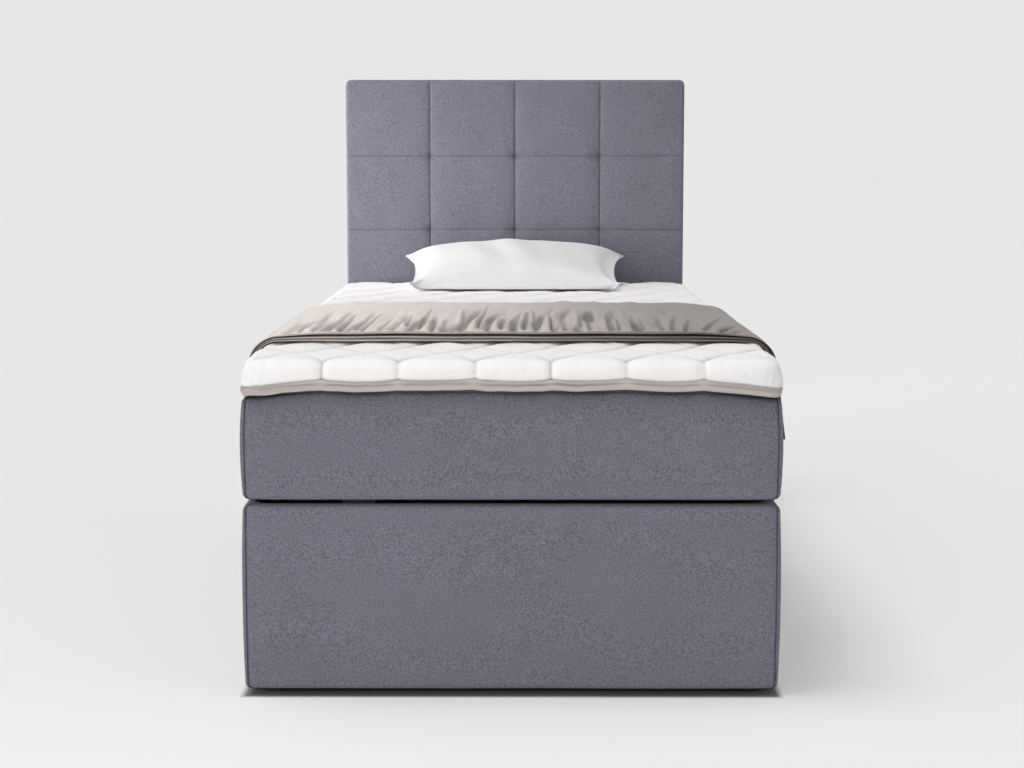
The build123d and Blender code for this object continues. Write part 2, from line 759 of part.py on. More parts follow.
# Steel border wires round the springs, against the edge foam
with BuildPart() as border_wires:
    wire_x = wall_inner_x - seat_clearance - wire_radius
    wire_foot_y = filling_y[0] + wall_thickness + seat_clearance + wire_radius
    wire_head_y = filling_y[1] - wall_thickness - seat_clearance - wire_radius
    for wire_z in (spring_z[0] + wire_radius, spring_z[1] - wire_radius):
        with BuildLine() as wire_path:
            FilletPolyline(
                (wire_x, wire_foot_y, wire_z),
                (wire_x, wire_head_y, wire_z),
                (-wire_x, wire_head_y, wire_z),
                (-wire_x, wire_foot_y, wire_z),
                radius=wire_bend_radius,
                close=True,
            )
        wire = wire_path.wires()[0]
        with BuildSketch(Plane(origin=wire @ 0, z_dir=wire % 0)):
            RegularPolygon(wire_radius, wire_sides)
        sweep(path=wire)
border_wires.part.label = "border_wires"
export_step(border_wires.part, "parts/border_wires.step")

# Padded covers of the upper box
upper_y = (foot_y, upper_head_y)
upper_z = (upper_bottom, upper_top)
upper_trim_z = (upper_bottom - cut_overrun, upper_top + cut_overrun)


def upper_skin():
    """Add the whole padded skin of the upper box, open above and below inside its rims."""
    rounds = (upper_lower_round, upper_upper_round, box_corner_round)
    padded_form(bed_width, upper_y, upper_z, side_crown, *rounds)
    inner_z = (rail_z[0], comfort_top)
    fill_box((-board_x, board_x), filling_y, inner_z, mode=Mode.SUBTRACT)
    rim_y = (foot_inner_y, frame_head_y - board_thickness)
    fill_box((-board_inner_x, board_inner_x), rim_y, upper_trim_z, mode=Mode.SUBTRACT)


with BuildPart() as mattress_foot_border:
    upper_skin()
    trim_to_end(foot_y, 1, upper_trim_z)
mattress_foot_border.part.label = "mattress_foot_border"
export_step(mattress_foot_border.part, "parts/mattress_foot_border.step")

with BuildPart() as mattress_head_border:
    upper_skin()
    trim_to_end(upper_head_y, -1, upper_trim_z)
mattress_head_border.part.label = "mattress_head_border"
export_step(mattress_head_border.part, "parts/mattress_head_border.step")

with BuildPart() as mattress_left_border:
    upper_skin()
    trim_to_side(-1, upper_y, upper_trim_z)
mattress_left_border.part.label = "mattress_left_border"
export_step(mattress_left_border.part, "parts/mattress_left_border.step")

with BuildPart() as mattress_right_border:
    upper_skin()
    trim_to_side(1, upper_y, upper_trim_z)
mattress_right_border.part.label = "mattress_right_border"
export_step(mattress_right_border.part, "parts/mattress_right_border.step")

with BuildPart() as mattress_top:
    top_x = board_inner_x - seat_clearance
    top_y = (foot_inner_y + seat_clearance, frame_head_y - board_thickness - seat_clearance)
    fill_box((-top_x, top_x), top_y, (comfort_top, upper_top))
mattress_top.part.label = "mattress_top"
export_step(mattress_top.part, "parts/mattress_top.step")

# Pull tab: sewn under the opening edge, it turns down outside the base
with BuildPart() as pull_tab:
    tab_outer_x = half_width + tab_thickness + seat_clearance
    tab_bend = tab_thickness + seat_clearance
    tab_top = upper_bottom
    side_plane = Plane(origin=(0, -tab_width / 2, 0), x_dir=(1, 0, 0), z_dir=(0, -1, 0))
    with BuildSketch(side_plane):
        with BuildLine():
            Polyline(
                (tab_outer_x - tab_bend, tab_top),
                (board_x - tab_inner_length, tab_top),
                (board_x - tab_inner_length, tab_top - tab_thickness),
                (tab_outer_x - tab_bend, tab_top - tab_thickness),
                (tab_outer_x - tab_thickness, tab_top - tab_bend),
                (tab_outer_x - tab_thickness, tab_top - tab_drop),
                (tab_outer_x, tab_top - tab_drop),
                (tab_outer_x, tab_top - tab_bend),
            )
            TangentArc((tab_outer_x, tab_top - tab_bend), (tab_outer_x - tab_bend, tab_top), tangent=(0, 1))
        make_face()
    extrude(amount=-tab_width)
pull_tab.part.label = "pull_tab"
export_step(pull_tab.part, "parts/pull_tab.step")

# Topper: foam core in a tray-shaped border, under a quilted cover
topper_width = bed_width + 2 * topper_overhang
topper_half = topper_width / 2
topper_y = (foot_y - topper_overhang, upper_head_y)
topper_length = topper_y[1] - topper_y[0]
border_top = upper_top + topper_border_height
core_x = topper_half - topper_border_thickness
core_y = (topper_y[0] + topper_border_thickness, topper_y[1] - topper_border_thickness)
core_z = (upper_top + topper_bottom_cloth, upper_top + topper_bottom_cloth + topper_core_height)



def core_block(z_span, mode=Mode.ADD):
    """Add or cut the room of the foam core, whose corners follow the border's."""
    with BuildSketch(Plane.XY.offset(z_span[0])) as plan:
        with Locations((0, sum(core_y) / 2)):
            core_corner = topper_corner_round - topper_border_thickness
            RectangleRounded(2 * core_x, core_y[1] - core_y[0], core_corner)
    extrude(plan.sketch, amount=z_span[1] - z_span[0], mode=mode)


with BuildPart() as topper_core:
    core_block(core_z)
topper_core.part.label = "topper_core"
export_step(topper_core.part, "parts/topper_core.step")

with BuildPart() as topper_border:
    border_rounds = (topper_border_round, topper_border_round, topper_corner_round)
    padded_form(topper_width, topper_y, (upper_top, border_top), topper_border_crown, *border_rounds)
    core_block((core_z[0], border_top + cut_overrun), mode=Mode.SUBTRACT)
topper_border.part.label = "topper_border"
export_step(topper_border.part, "parts/topper_border.step")

# Quilting: two families of slanting channels that cross in tall diamonds
quilt_y = topper_y[0] + quilt_start
quilt_run = hypot(quilt_width, quilt_length)
quilt_travel = topper_length * quilt_width / quilt_length
channel_run = topper_length * quilt_run / quilt_length
channel_mouth = channel_width / 2 * (channel_depth + cut_overrun) / channel_depth
first_line = -int((topper_half + quilt_travel) / quilt_width) - 1
last_line = int(topper_half / quilt_width) + 1


def channel_planes(lean):
    """Planes square to the channels that lean one way, one at the foot end of each channel."""
    planes = []
    direction = (lean * quilt_width / quilt_run, quilt_length / quilt_run, 0)
    across = (-direction[1], direction[0], 0)
    for number in range(first_line, last_line + 1):
        x = quilt_shift + lean * number * quilt_width
        back = quilt_start * quilt_width / quilt_length
        origin = (x - lean * back, topper_y[0], topper_top)
        planes.append(Plane(origin=origin, x_dir=across, z_dir=direction))
    return planes


with BuildPart() as topper_cover:
    cover_z = (border_top, topper_top)
    cover_rounds = (topper_border_crown, topper_roll_round, topper_corner_round)
    padded_form(topper_width, topper_y, cover_z, 0, *cover_rounds)
    core_block((border_top - cut_overrun, core_z[1]), mode=Mode.SUBTRACT)
    for lean in (-1, 1):
        with BuildSketch(*channel_planes(lean)):
            Polygon(
                (0, -channel_depth),
                (channel_mouth, cut_overrun),
                (-channel_mouth, cut_overrun),
                align=None,
            )
        extrude(amount=channel_run, mode=Mode.SUBTRACT)
    # upright channels round the edge roll, in line with the corners of the diamonds
    with BuildSketch(Plane.XY.offset(border_top)):
        for end_y, inward in ((topper_y[0], 1), (topper_y[1], -1)):
            for number in range(-int(topper_half / quilt_width), int(topper_half / quilt_width)):
                x = quilt_shift + number * quilt_width
                Polygon(
                    (x, end_y + inward * roll_channel_depth),
                    (x + channel_width / 2, end_y - inward * cut_overrun),
                    (x - channel_width / 2, end_y - inward * cut_overrun),
                    align=None,
                )
        for side in (-1, 1):
            for number in range(1, int(topper_length / quilt_length)):
                y = quilt_y + number * quilt_length
                Polygon(
                    (side * (topper_half - roll_channel_depth), y),
                    (side * (topper_half + cut_overrun), y + channel_width / 2),
                    (side * (topper_half + cut_overrun), y - channel_width / 2),
                    align=None,
                )
    extrude(amount=cover_z[1] - cover_z[0], mode=Mode.SUBTRACT)
topper_cover.part.label = "topper_cover"
export_step(topper_cover.part, "parts/topper_cover.step")

# Throw folded across the bed, hanging down on both sides
throw_y = (foot_y + throw_start, foot_y + throw_start + throw_length)
throw_under = topper_top + seat_clearance
throw_side_x = topper_half + seat_clearance
shoulder_x = topper_half - topper_roll_round
shoulder_z = topper_top - topper_roll_round


def throw_outline(inner, outer):
    """Closed profile across the bed between two heights above the throw's underside."""
    with BuildLine() as outline:
        for offset_out in (inner, outer):
            Line((0, throw_under + offset_out), (shoulder_x, throw_under + offset_out))
            side_point = (throw_side_x + offset_out, shoulder_z)
            TangentArc((shoulder_x, throw_under + offset_out), side_point, tangent=(1, 0))
            Line(side_point, (side_point[0] + throw_flare, throw_hem_height))
        hem_x = throw_side_x + throw_flare
        Line((hem_x + inner, throw_hem_height), (hem_x + outer, throw_hem_height))
        mirror(about=Plane.YZ)
    make_face(outline.edges())


with BuildPart() as throw:
    throw_plane = Plane(origin=(0, throw_y[0], 0), x_dir=(1, 0, 0), z_dir=(0, -1, 0))
    with BuildSketch(throw_plane):
        throw_outline(0, throw_thickness)
    extrude(amount=-throw_length)
    # the layers of the fold part at the front edge
    for share in throw_layer_shares:
        with BuildSketch(throw_plane):
            throw_outline(share * throw_thickness, share * throw_thickness + throw_groove)
        extrude(amount=-throw_groove_depth, mode=Mode.SUBTRACT)
    # gathers that run back from the front edge and fade
    for number in range(gather_count):
        x = gather_edge_inset - shoulder_x + number * gather_spacing
        length = gather_lengths[number % len(gather_lengths)]
        gather_z = throw_under + throw_thickness + gather_lift
        gather_plane = Plane(origin=(x, throw_y[0] + length / 2, gather_z), z_dir=(0, 1, 0))
        with Locations(gather_plane):
            Cone(gather_radius, gather_lift, length, mode=Mode.SUBTRACT)
    # soft folds in the hanging ends, deepest at the hem
    fold_pitch = throw_length / (side_fold_count + 1)
    fold_x = throw_side_x + throw_flare + throw_thickness + side_fold_lift
    for side in (-1, 1):
        for number in range(side_fold_count):
            y = throw_y[0] + (number + 1) * fold_pitch
            fold_z = throw_hem_height + side_fold_height / 2
            with Locations((side * fold_x, y, fold_z)):
                Cone(side_fold_radius, side_fold_lift, side_fold_height, mode=Mode.SUBTRACT)
throw.part.label = "throw"
export_step(throw.part, "parts/throw.step")

# Pillow: lens-shaped sections lofted from end to end, with sides drawn in between the corners
pillow_y = (head_y - pillow_head_gap - pillow_depth, head_y - pillow_head_gap)
pillow_middle_y = sum(pillow_y) / 2
pillow_bottom = topper_top + seat_clearance


def pillow_section(x, fullness):
    """One section of the pillow across its width: two arcs from front tip to rear tip."""
    front = (pillow_y[0], pillow_bottom + pillow_front_tip)
    rear = (pillow_y[1], pillow_bottom + pillow_rear_tip)
    chord_z = (front[1] + rear[1]) / 2
    half_edge = pillow_edge_thickness / 2
    top_z = chord_z + half_edge + fullness * (pillow_bottom + pillow_height - chord_z - half_edge)
    low_z = chord_z - half_edge - fullness * (chord_z - half_edge - pillow_bottom)
    with BuildSketch(Plane(origin=(x, 0, 0), x_dir=(0, 1, 0), z_dir=(1, 0, 0))) as section:
        with BuildLine():
            ThreePointArc(front, (pillow_middle_y, top_z), rear)
            ThreePointArc(front, (pillow_middle_y, low_z), rear)
        make_face()
    return section.sketch


pillow_stations = [(-place, full) for place, full in zip(pillow_place_shares, pillow_fullness_shares)]
pillow_stations = pillow_stations[:0:-1] + list(zip(pillow_place_shares, pillow_fullness_shares))

with BuildPart() as pillow:
    loft([pillow_section(place * pillow_width / 2, full) for place, full in pillow_stations], ruled=True)
    with BuildSketch(Plane.XY.offset(pillow_bottom)):
        with BuildLine():
            corners = [
                (sx * pillow_width / 2, pillow_middle_y + sy * pillow_depth / 2)
                for sx, sy in ((-1, -1), (1, -1), (1, 1), (-1, 1), (-1, -1))
            ]
            for start, end in zip(corners, corners[1:]):
                middle_x = (start[0] + end[0]) / 2
                middle_y = (start[1] + end[1]) / 2
                pull = pillow_draw_in
                if middle_x:
                    pulled = (middle_x - pull if middle_x > 0 else middle_x + pull, middle_y)
                else:
                    pulled = (middle_x, middle_y - pull if middle_y > pillow_middle_y else middle_y + pull)
                ThreePointArc(start, pulled, end)
        make_face()
    extrude(amount=pillow_height, mode=Mode.INTERSECT)
pillow.part.label = "pillow"
export_step(pillow.part, "parts/pillow.step")

# Headboard: cushion with crowned columns and rows, drawn in along its seams
cushion_back_y = head_y + cushion_depth
seam_y = head_y + seam_pinch
lower_zone_y = head_y - row_crown_setback
headboard_bottom = glide_height
column_width = bed_width / column_count
front_board_back_y = cushion_back_y + headboard_front_board_thickness
back_board_back_y = back_y - back_cover_thickness
post_back_y = back_board_back_y - back_board_thickness

with BuildPart() as headboard_cushion:
    with BuildSketch(Plane.XY.offset(headboard_bottom)):
        with BuildLine():
            Polyline(
                (-half_width, seam_y),
                (-half_width, cushion_back_y),
                (half_width, cushion_back_y),
                (half_width, seam_y),
            )
            for number in range(column_count):
                left = -half_width + number * column_width
                crown = (left + column_width / 2, head_y)
                ThreePointArc((left, seam_y), crown, (left + column_width, seam_y))
        make_face()
    extrude(amount=headboard_height - headboard_bottom)
    side_plane = Plane(origin=(-half_width, 0, 0), x_dir=(0, 1, 0), z_dir=(1, 0, 0))
    with BuildSketch(side_plane):
        with BuildLine():
            high = headboard_height
            Polyline((seam_y, high), (cushion_back_y, high), (cushion_back_y, headboard_bottom))
            for row in row_heights:
                crown = (head_y + row_crown_setback, high - row / 2)
                ThreePointArc((seam_y, high), crown, (seam_y, high - row))
                high -= row
            ThreePointArc(
                (seam_y, high),
                (head_y + seam_pinch / 4, high - lower_zone_run / 2),
                (lower_zone_y, high - lower_zone_run),
            )
            Polyline(
                (lower_zone_y, high - lower_zone_run),
                (lower_zone_y, headboard_bottom),
                (cushion_back_y, headboard_bottom),
            )
        make_face()
    extrude(amount=bed_width, mode=Mode.INTERSECT)
    face_plane = Plane(origin=(0, head_y - cut_overrun, headboard_bottom), x_dir=(1, 0, 0), z_dir=(0, -1, 0))
    with BuildSketch(face_plane):
        width = bed_width - 2 * seat_clearance
        height = headboard_height - headboard_bottom - seat_clearance
        cushion_outline(width, height, 0, headboard_top_round / 2, headboard_top_round)
    extrude(amount=-(cushion_depth + 2 * cut_overrun), mode=Mode.INTERSECT)
    cut_headboard_bolt_holes()
headboard_cushion.part.label = "headboard_cushion"
export_step(headboard_cushion.part, "parts/headboard_cushion.step")

# Frame of the headboard behind the cushion
frame_x = half_width - border_thickness
frame_z = (headboard_bottom + border_thickness, headboard_height - border_thickness)

with BuildPart() as headboard_front_board:
    fill_box((-frame_x, frame_x), (cushion_back_y, front_board_back_y), frame_z)
    cut_headboard_bolt_holes()
headboard_front_board.part.label = "headboard_front_board"
export_step(headboard_front_board.part, "parts/headboard_front_board.step")

with BuildPart() as headboard_posts:
    for side in (-1, 1):
        fill_box((side * (frame_x - post_width), side * frame_x), (front_board_back_y, post_back_y), frame_z)
headboard_posts.part.label = "headboard_posts"
export_step(headboard_posts.part, "parts/headboard_posts.step")

with BuildPart() as headboard_rails:
    rail_x = (-(frame_x - post_width), frame_x - post_width)
    top_rail_low = frame_z[1] - headboard_rail_height
    for low in headboard_rail_heights + (top_rail_low,):
        fill_box(rail_x, (front_board_back_y, post_back_y), (low, low + headboard_rail_height))
    cut_headboard_bolt_holes()
headboard_rails.part.label = "headboard_rails"
export_step(headboard_rails.part, "parts/headboard_rails.step")

with BuildPart() as headboard_back_board:
    fill_box((-frame_x, frame_x), (post_back_y, back_board_back_y), frame_z)
headboard_back_board.part.label = "headboard_back_board"
export_step(headboard_back_board.part, "parts/headboard_back_board.step")

border_plane = Plane(origin=(0, cushion_back_y, headboard_bottom), x_dir=(1, 0, 0), z_dir=(0, -1, 0))

with BuildPart() as headboard_border:
    with BuildSketch(border_plane):
        height = headboard_height - headboard_bottom
        cushion_outline(bed_width, height, 0, headboard_top_round / 2, headboard_top_round)
    extrude(amount=-(back_board_back_y - cushion_back_y))
    y_span = (cushion_back_y - cut_overrun, back_board_back_y + cut_overrun)
    fill_box((-frame_x, frame_x), y_span, frame_z, mode=Mode.SUBTRACT)
headboard_border.part.label = "headboard_border"
export_step(headboard_border.part, "parts/headboard_border.step")

with BuildPart() as headboard_back_cover:
    back_plane = Plane(origin=(0, back_board_back_y, headboard_bottom), x_dir=(1, 0, 0), z_dir=(0, -1, 0))
    with BuildSketch(back_plane):
        height = headboard_height - headboard_bottom
        cushion_outline(bed_width, height, 0, headboard_top_round / 2, headboard_top_round)
    extrude(amount=-back_cover_thickness)
headboard_back_cover.part.label = "headboard_back_cover"
export_step(headboard_back_cover.part, "parts/headboard_back_cover.step")

with BuildPart() as headboard_bolts:
    for start in headboard_bolt_starts():
        round_bar(start, (0, 1, 0), headboard_bolt_reach, headboard_bolt_radius)
        round_bar(start, (0, -1, 0), headboard_bolt_head_height, headboard_bolt_head_radius)
headboard_bolts.part.label = "headboard_bolts"
export_step(headboard_bolts.part, "parts/headboard_bolts.step")

print("strut length at rest", strut_length, "direction", strut_direction)
print("strut base pivot", strut_base_pivot, "lid pivot", strut_lid_pivot, "planes", strut_places)
print("hinge axis", hinge_x, hinge_z, "topper top", topper_top)
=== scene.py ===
"""Dresses the packed frame of a storage box spring bed: upholstery, quilted topper, throw, pillow and
finishes.

Metres, in the frame's own axes: the origin is on the floor, +Y runs to the headboard, +Z is up.
"""

import json
from functools import partial
from math import atan2, cos, hypot, pi, radians, sin

import bpy
import numpy as np
from bpy.props import FloatProperty, FloatVectorProperty, IntProperty, PointerProperty
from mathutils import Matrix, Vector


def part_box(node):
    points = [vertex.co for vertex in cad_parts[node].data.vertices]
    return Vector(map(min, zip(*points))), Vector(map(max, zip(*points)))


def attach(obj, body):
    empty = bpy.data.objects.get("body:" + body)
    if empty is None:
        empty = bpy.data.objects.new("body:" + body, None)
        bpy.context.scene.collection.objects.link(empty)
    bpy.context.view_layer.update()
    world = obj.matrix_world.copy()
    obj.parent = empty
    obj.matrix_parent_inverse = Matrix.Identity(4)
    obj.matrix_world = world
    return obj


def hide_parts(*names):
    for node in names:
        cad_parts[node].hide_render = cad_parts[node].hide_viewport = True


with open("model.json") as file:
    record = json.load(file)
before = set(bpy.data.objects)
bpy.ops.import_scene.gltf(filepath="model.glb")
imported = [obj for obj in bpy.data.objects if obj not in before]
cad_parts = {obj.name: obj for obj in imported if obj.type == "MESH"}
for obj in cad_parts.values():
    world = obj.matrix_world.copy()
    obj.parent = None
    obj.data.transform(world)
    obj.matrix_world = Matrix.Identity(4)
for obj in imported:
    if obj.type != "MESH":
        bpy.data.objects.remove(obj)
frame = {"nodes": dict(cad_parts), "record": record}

bl_info = {
    "name": "Box spring bed",
    "version": (1, 0, 0),
    "blender": (4, 5, 0),
    "location": "View3D > Sidebar > Bed",
    "description": "Upholstery, bedding and finishes of a storage box spring bed",
    "category": "Add Mesh",
}

MM = 0.001
EDGE_BOARD = 12 * MM  # from a cover's widest plan to the board behind it
COVER_TURN = 6 * MM  # radius at which a side cover turns into the ends
PAD_WIDTH, PAD_HEIGHT, TOP_PAD_HEIGHT = 225 * MM, 195 * MM, 200 * MM  # of the headboard's sewn pads
TOPPER_CORNER = 40 * MM  # radius of the topper's corners in plan
TOPPER_CORNER_PLACE = (0.454, 1.03)  # about where they lie, across and along
HEM_SEED = 62  # of the waves that the hem, the border under it and the rim share
FACE_POINTS = 30  # on the outer face of the topper's border
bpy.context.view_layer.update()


# Sizes and colours that a user would change
def millimetres(name, description, default):
    """A length property that is written in millimetres."""
    size = default * MM
    return FloatProperty(name=name, description=description, default=size, unit="LENGTH", subtype="DISTANCE")


def share(name, description, default):
    """A plain share or factor."""
    return FloatProperty(name=name, description=description, default=default)


def watts(name, description, default):
    """The power of a lamp."""
    return FloatProperty(name=name, description=description, default=default, unit="POWER")


def colour(name, description, default):
    """A linear colour."""
    return FloatVectorProperty(name=name, description=description, default=default, subtype="COLOR", min=0, max=1)


class UpholsterySizes(bpy.types.PropertyGroup):
    """Sizes of the padded covers and the headboard."""

    seam_depth: millimetres("Seam depth", "How far a corner seam is drawn in", 2.2)
    corner_radius: millimetres("Corner radius", "Radius of the boxes' corners at the foot end", 13)
    corner_ease: millimetres("Corner ease", "How far the foot covers lean back towards their corner seams", 4.5)
    seam_width: millimetres("Seam width", "How far the cover rounds into a corner seam", 3.5)
    unevenness: millimetres("Unevenness", "Slow waves of the padding under the cloth", 0.7)
    pucker: millimetres("Pucker", "Height of the small gathers along a seam", 0.35)
    tuft_depth: millimetres("Tuft depth", "Depth of the headboard's seams between the pads", 5.5)
    tuft_width: millimetres("Tuft width", "Half width of the headboard's seam valleys", 14)
    stitch_width: millimetres("Stitch width", "Half width of the narrow line that the stitching draws in", 1.8)
    knot_depth: millimetres("Knot depth", "Extra depth where two headboard seams cross", 9)
    pad_crown: millimetres("Pad crown", "How far each headboard pad swells in its middle", 3)


class QuiltSizes(bpy.types.PropertyGroup):
    """Sizes of the quilted topper."""

    pitch: millimetres("Pitch", "Width of a quilting diamond", 125.7)
    length: millimetres("Length", "Length of a quilting diamond", 218)
    shift: millimetres("Shift", "Offset of the quilting from the middle of the bed", 64.5)
    start: millimetres("Start", "Distance of the first diamond corners from the foot edge", 24)
    puff: millimetres("Puff", "Depth of the quilted seams below the cells", 9.5)
    corner_droop: millimetres("Corner droop", "How far the hem and the border droop at the corners", 15)
    second: share("Second", "Share of that depth for the seams that slant to the left", 0.35)
    scallop: millimetres("Scallop", "How far the hem sags between the seams at the ends", 2.4)
    crease: millimetres("Crease", "Height of the fine creases beside a seam", 0.7)
    hem_drop: millimetres("Hem drop", "How far the quilt's edge reaches below its foam", 4.5)
    band_top: millimetres("Band top", "Height of the border band's upper seam over the box", 32)
    band_bottom: millimetres("Band bottom", "Height of the border band's lower edge over the box", 14)
    wrinkle: millimetres("Wrinkle", "Height of the border's long wrinkles", 1.5)


class ThrowSizes(bpy.types.PropertyGroup):
    """Sizes of the folded throw."""

    layer: millimetres("Layer", "Thickness of one layer of the folded throw", 4.4)
    gap: millimetres("Gap", "Air between two layers", 1.6)
    recess: millimetres("Recess", "How far the folded edge below lies behind the upper free edge", 7)
    gather: millimetres("Gather", "Height of the gathers on the upper layer", 13)
    gathers: IntProperty(name="Gathers", description="Number of gathers across the bed", default=34)
    # painted shade: darkens the throw from its left end towards its right end, standing in for light that falls
    # from the left
    nap: share("Painted side shade", "How much darker the satin's nap reads at the right end than at the left", 0.62)
    hang_fold: millimetres("Hang fold", "Depth of the folds in the hanging ends", 4)
    left_tuck: millimetres("Left tuck", "How far the left hem hangs closer to the bed than the right one", 8)


class PillowSizes(bpy.types.PropertyGroup):
    """Sizes of the pillow."""

    pressure: share("Pressure", "Pressure of the filling while the pillow is blown up", 4.0)
    swell: millimetres("Swell", "Most that a point may move while the pillow is blown up", 30)
    draw_in: millimetres("Draw in", "How far the sides curve in between the corners", 14)
    rear_lift: millimetres("Rear lift", "Height of the rear seam over the topper", 74)
    front_lift: millimetres("Front lift", "Height of the front corners over the topper", 19)
    front_share: share("Front share", "Width of the front edge over that of the rear edge", 0.90)
    wrinkle: millimetres("Wrinkle", "Height of the soft slanting wrinkles", 2.4)


class BedColours(bpy.types.PropertyGroup):
    """Colours of the cloths."""

    upholstery: colour("Upholstery", "Blue-grey melange weave", (0.162, 0.160, 0.200))
    ticking: colour("Ticking", "White knit of the topper", (0.885, 0.868, 0.862))
    band: colour("Border band", "Grey-beige border of the topper", (0.52, 0.475, 0.45))
    satin: colour("Throw", "Taupe satin", (0.82, 0.75, 0.70))
    cotton: colour("Pillow", "White cotton", (0.70, 0.695, 0.70))


class StudioLevels(bpy.types.PropertyGroup):
    """Levels of the studio light."""

    surround: share("Surround", "Even light from all round", 0.50)
    key: share("Key", "Soft light from the upper left", 1.40)
    fill: share("Fill", "Weak light from the front", 0.12)
    front: watts("Front", "Softbox before the foot end", 5.6)
    side: watts("Side", "Softbox to the left of the headboard", 3.9)
    back: watts("Back", "Softbox behind the bed at the left", 1.0)
    backdrop: share("Backdrop", "Grey of the background", 0.799)
    floor: share("Floor", "Grey of the floor", 0.862)


# Helpers for shapes
def lerp(a, b, t):
    """The point a share t of the way from a to b."""
    return a + (b - a) * t


def ease(x, low, high):
    """0 below low, 1 above high, and a smooth cubic between."""
    t = np.clip((x - low) / (high - low), 0, 1)
    return t * t * (3 - 2 * t)


def bell(x, width):
    """1 at x = 0, falling to 1/e at the width: exp of minus the square of x / width."""
    return np.exp(-((x / width) ** 2))


def fade(x, length):
    """1 at x = 0, falling by 1/e with every length: exp of -x / length."""
    return np.exp(-x / length)


def arc_length(points, axis):
    """Running length along one axis of a grid of points."""
    steps = np.linalg.norm(np.diff(points, axis=axis), axis=-1)
    start = np.zeros_like(np.take(steps, [0], axis=axis))
    return np.cumsum(np.concatenate([start, steps], axis=axis), axis=axis)


def waves(a, b, low, high, count, seed, stretch=1.0):
    """Sum of cosines of (a, b) with wavelengths from low to high in seeded directions, between about -1 and
    1.

    stretch divides b first, so that the waves run long in b.
    """
    rng = np.random.default_rng(seed)
    total = 0.0
    for _ in range(count):
        turn, phase = rng.uniform(0, 2 * pi, 2)
        length = rng.uniform(low, high)
        total = total + np.cos(2 * pi * (a * cos(turn) + b / stretch * sin(turn)) / length + phase)
    return total / count**0.5


def quads(a, b, c, d):
    """Rows of four point numbers from four grids of them."""
    return np.stack([a.ravel(), b.ravel(), c.ravel(), d.ravel()], axis=1)


def grid_faces(index):
    """The faces between the neighbours of a grid of point numbers."""
    return quads(index[:-1, :-1], index[1:, :-1], index[1:, 1:], index[:-1, 1:])


def put_mesh(name, points, faces, cloth, material, shade):
    """Makes a smooth mesh of four-cornered faces that point outwards, with its cloth coordinates in metres
    as UV and, for every point, a share of painted shade that darkens the cloth's colour, mostly in seams and
    folds."""
    corner = points[faces]
    volume = np.einsum("ij,ij->i", corner[:, 0], np.cross(corner[:, 1], corner[:, 2])).sum()
    volume += np.einsum("ij,ij->i", corner[:, 0], np.cross(corner[:, 2], corner[:, 3])).sum()
    if volume < 0:
        faces = faces[:, ::-1]
    mesh = bpy.data.meshes.new(name)
    mesh.vertices.add(len(points))
    mesh.vertices.foreach_set("co", points.astype(np.float32).ravel())
    mesh.loops.add(faces.size)
    mesh.loops.foreach_set("vertex_index", np.ascontiguousarray(faces, np.int32).ravel())
    mesh.polygons.add(len(faces))
    mesh.polygons.foreach_set("loop_start", np.arange(0, faces.size, 4, dtype=np.int32))
    mesh.update(calc_edges=True)
    layer = mesh.uv_layers.new(name="cloth")
    layer.data.foreach_set("uv", cloth[faces.ravel()].astype(np.float32).ravel())
    # the crease attribute carries each point's share of painted shade
    depth = mesh.attributes.new("crease", "FLOAT", "POINT")
    depth.data.foreach_set("value", np.clip(np.resize(shade, len(points)), 0, 1).astype(np.float32))
    mesh.shade_smooth()
    mesh.materials.append(material)
    mesh.validate()
    piece = bpy.data.objects.new(name, mesh)
    bpy.context.scene.collection.objects.link(piece)
    return piece


def closed_shell(name, outer, inner, material, cloth=None, shade=0.0, shade_inner=None):
    """A closed skin: an outer and an inner grid of points of the same shape, joined along their four rims."""
    n, m = outer.shape[:2]
    size = n * m
    index = np.arange(size).reshape(n, m)
    rims = []
    for line, turned in ((index[:, 0], False), (index[:, -1], True), (index[0], True), (index[-1], False)):
        near, far = (line[:-1], line[1:]) if turned else (line[1:], line[:-1])
        rims.append(quads(near, far, far + size, near + size))
    faces = np.concatenate([grid_faces(index), grid_faces(index)[:, ::-1] + size, *rims])
    if cloth is None:
        cloth = np.stack([arc_length(outer, 0), arc_length(outer, 1)], axis=-1)
    points = np.concatenate([outer.reshape(-1, 3), inner.reshape(-1, 3)])
    flat = cloth.reshape(-1, 2)
    shades = (shade, shade if shade_inner is None else shade_inner)
    sides = [np.broadcast_to(side, (n, m)).ravel() for side in shades]
    return put_mesh(name, points, faces, np.concatenate([flat, flat]), material, np.concatenate(sides))


def closed_ring(name, points, material, shade=0.0):
    """A closed loop of closed sections: a grid of points that wraps round both ways."""
    n, m = points.shape[:2]
    index = np.arange(n * m).reshape(n, m)
    wrapped = np.concatenate([index, index[:1]])
    wrapped = np.concatenate([wrapped, wrapped[:, :1]], axis=1)
    cloth = np.stack([arc_length(points, 0), arc_length(points, 1)], axis=-1).reshape(-1, 2)
    shade = np.broadcast_to(shade, (n, m)).ravel()
    return put_mesh(name, points.reshape(-1, 3), grid_faces(wrapped), cloth, material, shade)


def settle(piece, body, slot, *nodes):
    """Puts a finished piece on its body, in place of its CAD nodes. The slot is not used."""
    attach(piece, body)
    if nodes:
        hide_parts(*nodes)
    return piece


def with_lines(stations, lines, offsets):
    """Stations with extra ones at both sides of some lines, in place of those that lie too near them."""
    offsets = np.array([-o for o in offsets[::-1]] + [0.0, *offsets])
    near = np.min([abs(stations - line) for line in lines], axis=0)
    extra = np.concatenate([line + offsets for line in lines])
    return np.sort(np.concatenate([stations[near > offsets[-1] + 1.5 * MM], extra]))


